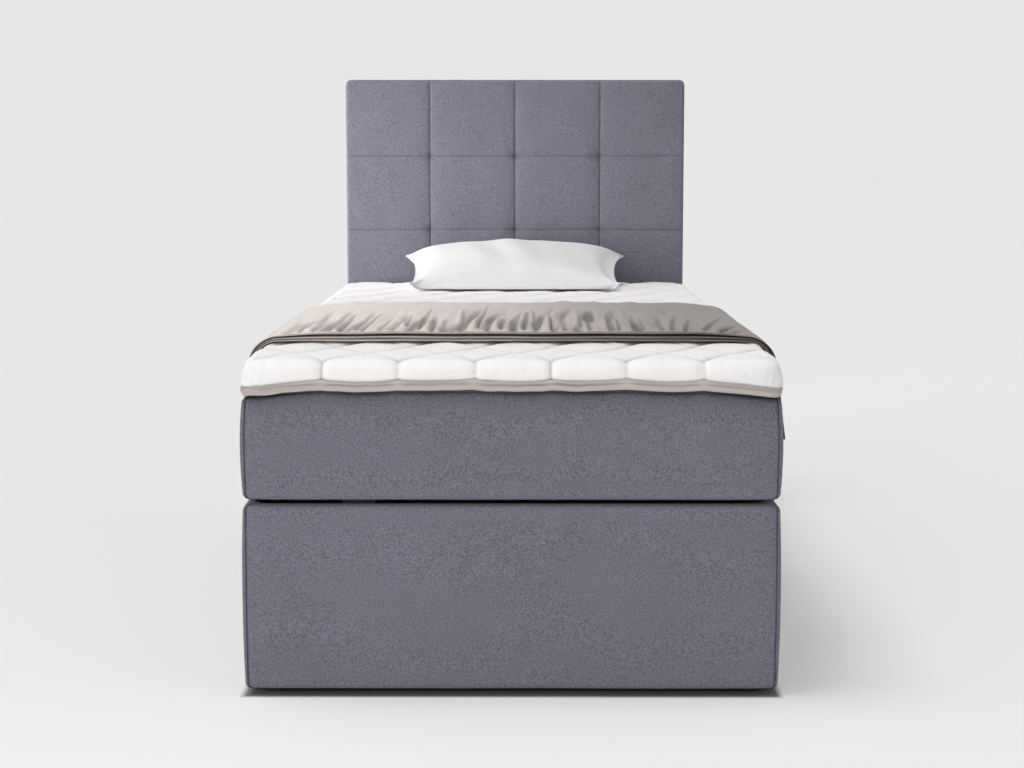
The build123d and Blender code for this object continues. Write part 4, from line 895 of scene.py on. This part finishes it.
class BED_OT_topper_band(bpy.types.Operator):
    """Makes the border band under the topper's quilt, with its long wrinkles and hanging lower edge."""

    bl_idname = "bed.topper_band"
    bl_label = "Topper border"

    def execute(self, context):
        sizes = context.scene.bed_quilt
        low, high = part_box("topper_border")
        plan, normal = rounded_ring(high.x, (low.y, high.y), TOPPER_CORNER, count_long=210, count_corner=15)
        top, bottom = low.z + sizes.band_top, low.z + sizes.band_bottom
        face = np.linspace(0, 1, FACE_POINTS)
        back = MM * np.array([-4, -8, -12, -13, -13, -13, -13, -8, -4.2])
        out = np.concatenate([3.2 * MM * np.sin(pi * face) ** 0.38 - 3.0 * MM, back])
        level = np.concatenate([face, [0.99, 0.99, 0.97], np.linspace(0.9, 0.06, 4), [0.005, 0.0]])
        along = arc_length(plan, 0)[:, None]
        a, v = along + 0 * level, level + 0 * along
        visible = (np.arange(len(level)) < FACE_POINTS) * 1.0
        long_way = np.linspace(0, 2 * pi, len(plan), endpoint=False)[:, None]
        wrinkles = waves(v * 0.03, a, 0.007, 0.018, 12, 61, 16.0) * np.sin(pi * np.clip(v, 0, 1))
        join = np.minimum(1, 20 * (1 - np.cos(long_way)))
        pulls = bell(((plan[:, :1] - sizes.shift) / sizes.pitch + 0.5) % 1 - 0.5, 0.07)
        ends = abs(normal[:, 1:2]) ** 4
        tuck = 2.4 * MM * bell(v - 0.86, 0.09) + 1.2 * MM * bell(v - 0.55, 0.07)
        push = (sizes.wrinkle * wrinkles * join - tuck * (1 - 0.7 * pulls * ends)) * visible
        hang = hem_wave(plan[:, 0], plan[:, 1])[:, None] + 0.7 * MM * waves(a, 0 * a, 0.03, 0.12, 9, 63) * join
        droop = bell(np.hypot(abs(plan[:, :1]) - high.x, abs(plan[:, 1:]) - TOPPER_CORNER_PLACE[1]), 0.06)
        reach = out + push - droop * (2.5 * MM + 4 * MM * (1 - v)) * (out > -6 * MM)
        flat = plan[:, None] + normal[:, None] * reach[..., None]
        z = lerp(bottom, top, v) - hang * np.clip((out + push + 9 * MM) / (6 * MM), 0, 1)
        z = np.where((v < 0.08) & (v > 0.01) & (visible < 1), low.z + 0.4 * MM, z)
        # painted shade: the band is darker across its middle height except at the seam pulls, a line darkens its
        # top seam, and its hidden back is painted nearly black as the shadow in the gap below it
        line = np.maximum(0.16 * (v > 0.95), 0.24 * bell(v - 0.62, 0.16) * (1 - pulls * ends))
        grid = np.concatenate([flat, z[..., None]], axis=-1)
        line = np.where(visible > 0, line, 0.85)
        band = closed_ring("topper_border_band", grid, cloth_finish("border band cloth"), line)
        settle(band, "lid", "topper_band", "topper_border")
        return {"FINISHED"}


# Throw
def stations_along(lengths, counts):
    """Stations from 0 over the running lengths at which each part ends, with a count of them for every
    part."""
    parts = [np.linspace(start, stop, count) for start, stop, count in zip((0, *lengths), lengths, counts)]
    return np.concatenate([part[:-1] for part in parts[:-1]] + parts[-1:])


def throw_path(half, top, hem_x, hem_z, radius):
    """Line across the bed under the throw: along the top, round the shoulder, and down with a slight flare.

    Gives points (x, z), outward normals and the running length from the middle, for the whole width.
    """
    slant = atan2(hem_x - half, top - radius - hem_z)
    flat = half - radius
    turn = pi / 2 - slant
    drop = (top - radius - hem_z + radius * sin(slant)) / cos(slant)
    lengths = np.cumsum([flat, radius * turn, drop])
    s = stations_along(lengths, (130, 20, 24))
    s = np.concatenate([-s[:0:-1], s])
    side, run = np.sign(s), abs(s)
    angle = pi / 2 - np.clip((run - lengths[0]) / radius, 0, turn)
    down = np.maximum(run - lengths[1], 0)
    out = np.where(run > flat, np.cos(angle), 0)
    up = np.where(run > flat, np.sin(angle), 1)
    x = np.minimum(run, flat) + radius * out + down * sin(slant)
    z = top - radius + radius * up - down * cos(slant)
    return np.stack([side * x, z], axis=-1), np.stack([side * out, up], axis=-1), s, lengths


def folded_strip(length, layer, gap, recess):
    """The strip of a throw folded in three, from the upper free edge back, under, forward, under and back.

    Gives for its upper and its lower side the place along the bed, the height over the underside and which
    of the three layers it is (2 is the upper one).
    """
    pitch = layer + gap
    round_out, round_in = pitch / 2 + layer / 2, gap / 2
    fine, coarse = np.linspace(0, 1, 92), np.linspace(0, 1, 16)
    turn = np.linspace(0, pi, 19)[1:-1]
    front, rear = round_out + recess, length - round_out
    runs = [
        (lerp(0.5 * MM, rear, fine), 2.0, (2 * pitch + layer, 2 * pitch)),
        (coarse, 1.0, (pitch, pitch + layer)),
        (coarse, 0.0, (layer, 0.0)),
    ]
    side_a, side_b = [], []
    middle_back, middle_front = 1.5 * pitch + layer / 2, 0.5 * pitch + layer / 2
    for number, (along, level, (over, under)) in enumerate(runs):
        t = along if number == 0 else (lerp(rear, front, along) if number == 1 else lerp(front, rear, along))
        side_a.append((t, np.full_like(t, over), np.full_like(t, level)))
        side_b.append((t, np.full_like(t, under), np.full_like(t, level)))
        if number == 0:
            for side, radius in ((side_a, round_out), (side_b, round_in)):
                side.append((rear + radius * np.sin(turn), middle_back + radius * np.cos(turn), 2 - turn / pi))
        elif number == 1:
            for side, radius in ((side_a, round_in), (side_b, round_out)):
                nose = front - radius * np.sin(turn) * (1 - 0.7 * np.exp(-(((turn - pi / 2) / 0.3) ** 2)))
                side.append((nose, middle_front + radius * np.cos(turn), 1 - turn / pi))
    return [tuple(np.concatenate([part[i] for part in side]) for i in range(3)) for side in (side_a, side_b)]


def gather_relief(s, t, length, count, half):
    """Gathers that run back from the front edge, leaning to the right: each a rounded ridge with a sharper
    valley at its right, fading along its length. Gives the relief from about -0.4 to 1 and how deep the
    valleys lie."""
    rng = np.random.default_rng(71)
    ridges, valleys = 0.0, 0.0
    for number in range(count):
        place = (number + rng.uniform(-0.35, 0.35)) / (count - 1)
        middle = 1 - abs(2 * place - 1)
        start = lerp(-half * 0.97, half * 0.92, place)
        lean = rng.uniform(-0.008, 0.024) + 0.01 * place + 1.6 * max(place - 0.84, 0)
        bend = rng.uniform(-0.03, 0.05)
        reach = rng.uniform(0.40, 0.62 + 0.30 * middle) * length
        width = rng.uniform(0.0036, 0.0062)
        depth = rng.uniform(0.60, 0.85 + 0.15 * middle)
        begin = rng.uniform(-0.12, 0.04 + 0.2 * rng.uniform() ** 3) * length
        way = np.clip((t - begin) / reach, 0, 1)
        away = (s - start - lean * t - bend * t**2) / (width * (1.1 - 0.5 * way))
        depth = depth * ease(way, 0, 0.15) * (1 - way) ** 0.6
        ridges = np.maximum(ridges, depth * bell(away + 1.7, 1.2))
        valleys = np.maximum(valleys, depth * bell(away, 0.85))
    return ridges - 0.45 * valleys, valleys


class BED_OT_throw(bpy.types.Operator):
    """Makes the satin throw, folded in three across the bed and hanging down on both sides."""

    bl_idname = "bed.throw"
    bl_label = "Throw"

    def execute(self, context):
        sizes = context.scene.bed_throw
        low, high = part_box("throw")
        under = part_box("topper_cover")[1]
        length = high.y - low.y
        shoulder, hem = under.x + 6 * MM, under.x + 23 * MM
        path, normal, s, lengths = throw_path(shoulder, under.z + 0.3 * MM, hem, low.z, radius=40 * MM)
        grids, shades = [], []
        s = s[:, None]
        on_top = 1 - ease(abs(s), lengths[0] - 0.03, lengths[0] + 0.02)
        hanging = ease(abs(s), lengths[0], lengths[1] + 0.02)
        squeeze = 1 - 0.42 * ease(abs(s), lengths[0] - 0.10, lengths[0] + 0.03)
        top_level = 2 * (sizes.layer + sizes.gap) + sizes.layer
        for along, height, layer in folded_strip(length, sizes.layer, sizes.gap, sizes.recess):
            t, height, layer = along[None, :], height[None, :], layer[None, :]
            upper = (layer > 1.95) & (height > 0.9 * top_level)
            relief, valleys = gather_relief(s, t, length, sizes.gathers, lengths[0])
            soft = waves(s, t, 0.10, 0.35, 10, 72, 1.6)
            drift = 0.008 * waves(s, t, 0.25, 0.7, 6, 79)
            pleats = waves(s - 0.02 * t + drift, t, 0.018, 0.042, 18, 78, 22.0)
            uneven = 0.7 + 0.5 * waves(s, 0 * t, 0.2, 0.6, 5, 80)
            pleats = pleats * (1 - ease(t, 0.25 * length, 0.95 * length)) * uneven
            fine = waves(s, t, 0.03, 0.09, 10, 73, 3.0)
            rear = bell(t - length, 0.05) * np.maximum(waves(s, 0 * t, 0.05, 0.2, 7, 77) - 0.3, 0)
            lift = 0.7 * MM * (1 + waves(s, t, 0.08, 0.3, 8, 74)) * on_top * (layer + 0.4) / 2.4
            settled = ease(t, 0.0, 0.035)
            rise = (sizes.gather * (0.75 * relief + 0.25 * pleats) + 0.9 * MM * soft) * on_top * settled
            rise += 0.4 * MM * fine
            rise += 1.8 * MM * fade(t, 0.03) * on_top
            rise = np.where(upper, np.maximum(rise + 4 * MM * rear * on_top, -0.6 * sizes.layer), 0)
            folds = hanging * sizes.hang_fold * (1 + waves(t + 0 * s, s + 0 * t, 0.09, 0.26, 6, 75, 3.0))
            thin = (layer > 1.95) & (height < 0.9 * top_level)
            height = height + np.where(thin, (sizes.layer - 1.0 * MM) * fade(t, 9 * MM), 0)
            reach = (height + rise + lift) * squeeze + folds
            edge = 2.0 * MM * waves(s, layer * 0.2 + 0 * s, 0.1, 0.5, 6, 76) * (1 - ease(t, 0.0, 0.25))
            y = low.y + np.clip(t + edge + 3 * MM, 0.5 * MM, length - 0.5 * MM)
            place = path[:, None] + normal[:, None] * reach[..., None]
            place[..., 0] += (s < 0) * sizes.left_tuck * ease(-s, lengths[1], lengths[2])
            grids.append(np.stack([place[..., 0], y, place[..., 1]], axis=-1))
            # painted shade of the throw: between its folded layers and on their edges, along the upper free edge,
            # on the hanging ends, and in the gathers' valleys and pleats
            middle = (height % (sizes.layer + sizes.gap) - sizes.layer / 2) / (0.36 * sizes.layer)
            inside = np.where(upper, 0, 0.8 - np.where(layer > 0.5, 0.62, 0.75) * bell(middle, 1))
            turned = np.maximum(inside, 0.5 * bell(t, 1.2 * MM) * upper)
            painted_valley_shade = np.maximum(0.95 * valleys, 0.60 * np.clip(-pleats - 0.1, 0, 1))
            dark = np.maximum(np.maximum(turned, 0.42 * hanging), painted_valley_shade * on_top * upper * settled)
            # painted side shade: the satin is painted darker towards the right end and on the hanging ends,
            # standing in for light from the left
            nap = sizes.nap * lerp(ease(s, -0.40, 0.45), 0.62, hanging)
            shades.append(1 - (1 - dark) * (1 - nap))
        throw = closed_shell("folded_throw", *grids, cloth_finish("taupe satin"), None, *shades)
        settle(throw, "lid", "throw_satin", "throw")
        return {"FINISHED"}


# Pillow
def pillow_grids(width, depth, thick, draw_in):
    """Two lens-shaped halves over a plan whose sides are drawn in between the corners: the thickness is a
    power of the product of (1 - p²)(1 - q²)."""
    p, q = (np.sin(np.linspace(-pi / 2, pi / 2, count)) for count in (101, 71))
    p, q = np.meshgrid(p, q, indexing="ij")
    x = p * (width / 2 - draw_in * (1 - q**2))
    y = q * (depth / 2 - 0.4 * draw_in * (1 - p**2))
    rise = 0.9 * MM + thick * ((1 - p**2) * (1 - q**2)) ** 0.45
    cloth = np.stack([p * width / 2, q * depth / 2], axis=-1)
    return np.stack([x, y, rise], axis=-1), np.stack([x, y, -rise], axis=-1), cloth


def read_points(mesh):
    """The places of a mesh's points."""
    points = np.zeros(len(mesh.vertices) * 3, np.float32)
    mesh.vertices.foreach_get("co", points)
    return points.reshape(-1, 3).astype(float)


def blow_up(piece, pressure, most):
    """Points of a closed piece after Blender's cloth has blown it up, with a cap on how far each has
    moved."""
    scene = bpy.context.scene
    start = read_points(piece.data)
    cloth = piece.modifiers.new("cloth", "CLOTH")
    cloth.settings.use_pressure = True
    cloth.settings.uniform_pressure_force = pressure
    cloth.settings.quality = 6
    cloth.settings.mass = 0.25
    cloth.settings.tension_stiffness = 25
    cloth.settings.compression_stiffness = 12
    cloth.settings.shear_stiffness = 8
    cloth.settings.bending_stiffness = 0.15
    cloth.settings.effector_weights.gravity = 0
    cloth.collision_settings.use_collision = False
    for number in range(1, 25):
        scene.frame_set(number)
    blown = piece.evaluated_get(bpy.context.evaluated_depsgraph_get())
    step = read_points(blown.to_mesh()) - start
    blown.to_mesh_clear()
    piece.modifiers.remove(cloth)
    scene.frame_set(1)
    size = np.linalg.norm(step, axis=1, keepdims=True)
    return start + step * np.minimum(1, most / np.maximum(size, 1e-9))


def eased_middle(points, shape, rounds):
    """Points of two stacked grids after some rounds of averaging each inner point with its four neighbours;
    the averaging fades out towards the rims, so that the creases at the corners stay."""
    grids = points.reshape(2, *shape, 3).copy()
    away = np.minimum(np.arange(shape[0]), np.arange(shape[0])[::-1])[:, None]
    away = np.minimum(away, np.minimum(np.arange(shape[1]), np.arange(shape[1])[::-1])[None, :])
    part = ease(away, 0, 16)[None, 1:-1, 1:-1, None]
    for _ in range(rounds):
        mean = grids[:, :-2, 1:-1] + grids[:, 2:, 1:-1] + grids[:, 1:-1, :-2] + grids[:, 1:-1, 2:]
        grids[:, 1:-1, 1:-1] = lerp(grids[:, 1:-1, 1:-1], mean / 4, part)
    return grids.reshape(-1, 3)


class BED_OT_pillow(bpy.types.Operator):
    """Makes the pillow: blown up flat, then laid on the topper with its head edge raised."""

    bl_idname = "bed.pillow"
    bl_label = "Pillow"

    def execute(self, context):
        sizes = context.scene.bed_pillow
        low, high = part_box("pillow")
        width, depth, height = high.x - low.x, high.y - low.y, high.z - low.z
        upper, lower, cloth = pillow_grids(width, depth, 36 * MM, sizes.draw_in)
        pillow = closed_shell("pillow_white", upper, lower, cloth_finish("white cotton"), cloth)
        points = blow_up(pillow, sizes.pressure, sizes.swell)
        points = eased_middle(points, cloth.shape[:2], 8)
        p, q = cloth[..., 0].ravel() * 2 / width, cloth[..., 1].ravel() * 2 / depth
        p, q = np.concatenate([p, p]), np.concatenate([q, q])
        x = points[:, 0] * (width / 2) / abs(points[:, 0]).max()
        x = x * lerp(sizes.front_share, 1, (q + 1) / 2)
        y = points[:, 1] * (depth / 2) / abs(points[:, 1]).max()
        body = (1 - p**2) * (1 - q**2)
        slant = waves(x + 0.5 * y, y - 0.5 * x, 0.06, 0.2, 9, 81, 2.2)
        z = points[:, 2] + sizes.wrinkle * slant * body * np.sign(points[:, 2])
        z = np.where(z > 0, z * (1 - p**2) ** 0.5, z)
        front = lerp(3 * MM, sizes.front_lift, p**4)
        seam = lerp(front, sizes.rear_lift - 9 * MM * abs(p) ** 9, ease(q, -1.1, 1.05))
        top = (height - sizes.rear_lift) / np.maximum(z.max(), 1e-6)
        z = np.where(z > 0, z * top * 1.25, z) + seam
        z = np.where(z < 4 * MM, 4 * MM * np.exp(np.minimum(z - 4 * MM, 0) / (14 * MM)), z)
        z = np.minimum(z, height) - 0.3 * np.maximum(z - height, 0)
        z = z * height / z.max()
        placed = np.stack([x + (low.x + high.x) / 2, y + (low.y + high.y) / 2, low.z + z], axis=-1)
        pillow.data.vertices.foreach_set("co", placed.astype(np.float32).ravel())
        pillow.data.update()
        settle(pillow, "lid", "pillow_cotton", "pillow")
        return {"FINISHED"}


# Small cloth pieces
class BED_OT_small_cloths(bpy.types.Operator):
    """Makes the pull tab, the cloth under the upper box, the one on top of it and the topper's lower one."""

    bl_idname = "bed.small_cloths"
    bl_label = "Tab and hidden cloths"

    def execute(self, context):
        low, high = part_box("pull_tab")
        thick = 2.2 * MM
        bend = 2.7 * MM
        run_in = high.x - bend - low.x
        run_down = high.z - bend - low.z
        lengths = np.cumsum([run_in, bend * pi / 2, run_down])
        s = stations_along(lengths, (14, 10, 40))[:, None]
        angle = np.clip((s - lengths[0]) / bend, 0, pi / 2)
        sides = []
        across = np.linspace(low.y, high.y, 25)[None, :]
        for inset in (0.0, thick):
            wave = 0.25 * MM * waves(s, across, 0.02, 0.06, 6, 91) * (inset == 0)
            radius = bend - inset
            x = low.x + np.minimum(s, lengths[0]) + radius * np.sin(angle)
            x = x - wave * np.sin(angle) * (s > lengths[1])
            z = high.z - bend + radius * np.cos(angle) - np.maximum(s - lengths[1], 0)
            sides.append(np.stack([x + 0 * across, across + 0 * s, z + 0 * across], axis=-1))
        tab = closed_shell("pull_tab_webbing", *sides, cloth_finish("dark webbing"))
        settle(tab, "lid", "tab_webbing", "pull_tab")
        core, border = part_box("topper_core"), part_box("topper_border")
        inset = Vector((18 * MM, 18 * MM, 0))
        bottom = (Vector((*core[0].xy, border[0].z)) + inset, Vector((*core[1].xy, core[0].z)) - inset)
        sheets = (
            ("underside_dust_cloth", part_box("underside_cloth"), "frame_slats", ["underside_cloth"]),
            ("mattress_cloth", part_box("mattress_top"), "comfort_foam", ["mattress_top"]),
            ("topper_bottom_cloth", bottom, "mattress_cloth", []),
        )
        for name, (low, high), rest, nodes in sheets:
            a, b = np.meshgrid(np.linspace(low.x, high.x, 50), np.linspace(low.y, high.y, 110), indexing="ij")
            dents = 0.3 * MM * (1 + waves(a, b, 0.05, 0.2, 8, 92))
            top = np.stack([a, b, high.z - 0.2 * MM - 0 * a], axis=-1)
            bottom = np.stack([a, b, low.z + 0.2 * MM + np.minimum(dents, 0.8 * MM)], axis=-1)
            piece = closed_shell(name, top, bottom, cloth_finish("black non-woven"), np.stack([a, b], axis=-1))
            settle(piece, "lid", "under_cloth", *nodes)
        return {"FINISHED"}


# Finishes of the CAD nodes
STEEL = {"Metallic": 1.0}

# Of each slot: colour, bump, bump depth, and the wood group's rings, streaks, chips and roughness
WOODS = {
    "board": ((0.60, 0.48, 0.34), 0.4, 0.0004, (18, 0.10, 0.35, 0.8)),
    "floor_board": ((0.62, 0.55, 0.46), 0.2, 0.0002, (40, 0.12, 0.10, 0.6)),
    "frame_wood": ((0.70, 0.53, 0.34), 0.35, 0.0004, (26, 0.34, 0.0, 0.62)),
}

# Of each slot: colour, bump, bump depth, the moulded group's grain, marks, dust and roughness, and shader values
MOULDED = {
    "glide_plastic": ((0.02, 0.02, 0.02), 0.2, 0.0002, (900, 0.1, 0.05, 0.5), {}),
    "strip_plastic": ((0.55, 0.53, 0.5), 0.2, 0.0002, (900, 0.1, 0.05, 0.45), {}),
    "bumper_rubber": ((0.04, 0.04, 0.04), 0.4, 0.0003, (700, 0.1, 0.05, 0.8), {}),
    "hinge_steel": ((0.12, 0.12, 0.125), 0.15, 0.0001, (1500, 0.2, 0.1, 0.55), STEEL),
    "bolt_steel": ((0.55, 0.55, 0.56), 0.15, 0.0001, (1500, 0.2, 0.1, 0.32), STEEL),
    "wire_steel": ((0.45, 0.45, 0.46), 0.15, 0.0001, (1500, 0.2, 0.05, 0.4), STEEL),
    "strut_paint": ((0.012, 0.012, 0.013), 0.15, 0.0001, (1200, 0.1, 0.05, 0.5), {"Specular IOR Level": 0.25}),
    "strut_chrome": ((0.82, 0.82, 0.83), 0.05, 0.0001, (2000, 0.04, 0.03, 0.09), STEEL),
    "felt": ((0.40, 0.38, 0.36), 0.8, 0.0008, (400, 0.4, 0.3, 0.95), {}),
    "foam": ((0.85, 0.80, 0.62), 0.7, 0.0008, (500, 0.05, 0.08, 0.95), {}),
    "spring_cloth": ((0.85, 0.85, 0.83), 0.6, 0.0006, (450, 0.06, 0.05, 0.9), {}),
}


def cad_finish(slot, size):
    """The material of a CAD node, by its record slot; planed wood's grain runs along the node's longest
    side."""
    if slot in MOULDED:
        tint, bump, depth, values, shader = MOULDED[slot]
        values = dict(zip(("grain", "marks", "dust", "roughness"), values))
        return finish(slot, "moulded", tint, bump, depth, shader=shader, **values)
    tint, bump, depth, values = WOODS[slot]
    values = dict(zip(("rings", "streaks", "chips", "roughness"), values))
    if slot != "frame_wood":
        return finish(slot, "wood", tint, bump, depth, **values)
    longest = max(range(3), key=lambda axis: size[axis])
    stretch = tuple(0.08 if axis == longest else 1.0 for axis in range(3))
    return finish(f"planed wood {'xyz'[longest]}", "wood", tint, bump, depth, stretch, **values)


class BED_OT_frame_finishes(bpy.types.Operator):
    """Gives every CAD node that stays its material."""

    bl_idname = "bed.frame_finishes"
    bl_label = "Finishes of boards and fittings"

    def execute(self, context):
        slots = {part["node"]: part["material_slot"] for part in frame["record"]["subparts"]}
        for name, node in frame["nodes"].items():
            if node.hide_render:
                continue
            low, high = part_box(name)
            made = cad_finish(slots[name], high - low)
            for slot in node.material_slots:
                slot.material = made
        return {"FINISHED"}


# Stage
def facing(name, data, place, towards):
    """Puts a lamp into the scene that shines towards a direction."""
    thing = bpy.data.objects.new(name, data)
    thing.location = place
    thing.rotation_mode = "QUATERNION"
    thing.rotation_quaternion = Vector(towards).to_track_quat("-Z", "Y")
    bpy.context.scene.collection.objects.link(thing)


def sun(name, strength, angle, towards):
    """Adds a soft sun of an angular size in degrees."""
    lamp = bpy.data.lights.new(name, "SUN")
    lamp.energy, lamp.angle = strength, radians(angle)
    facing(name, lamp, (0, 0, 0), towards)


def softbox(name, power, size, place, target, spread):
    """Adds a rectangular lamp that shines from its place towards a target, within a spread in degrees."""
    lamp = bpy.data.lights.new(name, "AREA")
    lamp.shape = "RECTANGLE"
    lamp.size, lamp.size_y = size
    lamp.energy, lamp.spread = power, radians(spread)
    facing(name, lamp, place, Vector(target) - Vector(place))


def emptied(owner):
    """The node tree of a material or a world, without nodes."""
    owner.use_nodes = True
    owner.node_tree.nodes.clear()
    return owner.node_tree


def floor_material(levels):
    """Matte and pale, with a painted shadow in a line where the bed stands on it, and for the camera partly as
    bright as the backdrop."""
    material = bpy.data.materials.new("pale floor")
    tree = emptied(material)
    place = add_node(tree, "ShaderNodeTexCoord").outputs["Object"]
    spot = [Value(tree, part) for part in add_node(tree, "ShaderNodeSeparateXYZ", {0: place}).outputs[:2]]
    # painted shadow: within the bed's footprint and about 12 mm round it the floor's grey falls to a quarter, and
    # the backdrop glow is left out
    beside, before = (part.through("ABSOLUTE") - half for part, half in zip(spot, (0.446, 1.042)))
    outside = {0: beside.through("MAXIMUM", before), 1: 0.0, 2: 0.012, 3: 0.0, 4: 1.0}
    clear = Value(tree, add_node(tree, "ShaderNodeMapRange", outside).outputs[0])
    painted_contact_shadow = add_node(tree, "ShaderNodeMapRange", {0: clear, 1: 0.0, 2: 1.0, 3: 0.25, 4: 1.0}).outputs[0]
    shade = add_node(tree, "ShaderNodeCombineColor", {number: levels.floor for number in range(3)}).outputs[0]
    matte = add_node(tree, "ShaderNodeBsdfDiffuse", {"Color": scaled(tree, shade, painted_contact_shadow)})
    glow = add_node(tree, "ShaderNodeEmission", {"Color": (1, 1, 1, 1), "Strength": levels.backdrop})
    seen = Value(tree, add_node(tree, "ShaderNodeLightPath").outputs["Is Camera Ray"])
    inputs = {0: seen * 0.35 * clear, 1: matte.outputs[0], 2: glow.outputs[0]}
    mixed = add_node(tree, "ShaderNodeMixShader", inputs)
    add_node(tree, "ShaderNodeOutputMaterial", {"Surface": mixed.outputs[0]})
    return material


def studio_world(levels):
    """Even white light from all round, seen by the camera as the backdrop's grey."""
    world = bpy.data.worlds.new("studio")
    tree = emptied(world)
    rays = add_node(tree, "ShaderNodeLightPath").outputs
    seen = Value(tree, rays["Is Camera Ray"]).through("MAXIMUM", rays["Is Transmission Ray"])
    inputs = {0: seen}
    for number, strength in ((1, levels.surround), (2, levels.backdrop)):
        background = add_node(tree, "ShaderNodeBackground", {"Color": (1, 1, 1, 1), "Strength": strength})
        inputs[number] = background.outputs[0]
    mixed = add_node(tree, "ShaderNodeMixShader", inputs)
    add_node(tree, "ShaderNodeOutputWorld", {"Surface": mixed.outputs[0]})
    return world


class BED_OT_stage(bpy.types.Operator):
    """Sets up the camera, the floor, the backdrop and the studio light."""

    bl_idname = "bed.stage"
    bl_label = "Stage"

    def execute(self, context):
        scene, levels = context.scene, context.scene.bed_studio
        camera = bpy.data.objects.new("camera", bpy.data.cameras.new("camera"))
        scene.collection.objects.link(camera)
        camera.location = (0.0152, -4.2032, 0.9002)
        camera.rotation_euler = (radians(83.27), 0, radians(0.258))
        camera.data.lens = 68.05
        camera.data.sensor_width = 36
        camera.data.clip_end = 200
        scene.camera = camera
        scene.view_settings.view_transform = "Standard"
        sun("key", levels.key, 26, (0.31, 0.0, -0.95))
        sun("fill", levels.fill, 70, (0.25, 0.9, -0.30))
        softbox("front box", levels.front, (1.6, 0.4), (-0.8, -3.2, 0.95), (-0.1, -1.0, 0.30), 110)
        softbox("side box", levels.side, (0.7, 0.9), (-1.45, 0.10, 0.85), (-0.30, 0.95, 0.80), 60)
        softbox("back box", levels.back, (1.0, 0.5), (-2.4, 1.3, 1.15), (0.3, -0.7, 0.62), 45)
        scene.world = studio_world(levels)
        reach = 60
        x, y = np.meshgrid([-reach, 0, reach], [-reach, 0, reach], indexing="ij")
        points = np.stack([x, y, 0 * x], axis=-1).reshape(-1, 3)
        mesh = bpy.data.meshes.new("floor")
        mesh.from_pydata(points.tolist(), [], grid_faces(np.arange(9).reshape(3, 3)).tolist())
        mesh.materials.append(floor_material(levels))
        floor = bpy.data.objects.new("floor", mesh)
        scene.collection.objects.link(floor)
        return {"FINISHED"}


# Panel and registration
OPERATORS = (
    BED_OT_stage,
    BED_OT_base_covers,
    BED_OT_mattress_covers,
    BED_OT_headboard,
    BED_OT_headboard_shell,
    BED_OT_topper_quilt,
    BED_OT_topper_band,
    BED_OT_throw,
    BED_OT_pillow,
    BED_OT_small_cloths,
    BED_OT_frame_finishes,
)
SETTINGS = {
    "bed_upholstery": UpholsterySizes,
    "bed_quilt": QuiltSizes,
    "bed_throw": ThrowSizes,
    "bed_pillow": PillowSizes,
    "bed_colours": BedColours,
    "bed_studio": StudioLevels,
}


class BED_PT_panel(bpy.types.Panel):
    """Lists the sizes, the colours and the pieces of the bed."""

    bl_label = "Box spring bed"
    bl_space_type = "VIEW_3D"
    bl_region_type = "UI"
    bl_category = "Bed"

    def draw(self, context):
        for key, group in SETTINGS.items():
            box = self.layout.box()
            box.label(text=group.__doc__)
            for name in group.__annotations__:
                box.prop(getattr(context.scene, key), name)
        for operator in OPERATORS:
            self.layout.operator(operator.bl_idname)


def register():
    for kind in (*SETTINGS.values(), *OPERATORS, BED_PT_panel):
        bpy.utils.register_class(kind)
    for key, group in SETTINGS.items():
        setattr(bpy.types.Scene, key, PointerProperty(type=group))


def unregister():
    for key in SETTINGS:
        delattr(bpy.types.Scene, key)
    for kind in reversed((*SETTINGS.values(), *OPERATORS, BED_PT_panel)):
        bpy.utils.unregister_class(kind)


def main():
    """Registers the classes and makes every piece in order."""
    register()
    for operator in OPERATORS:
        group, name = operator.bl_idname.split(".")
        if getattr(getattr(bpy.ops, group), name)() != {"FINISHED"}:
            raise RuntimeError(f"{operator.bl_label} didn't finish")
    bpy.context.view_layer.update()


if __name__ == "__main__":
    main()
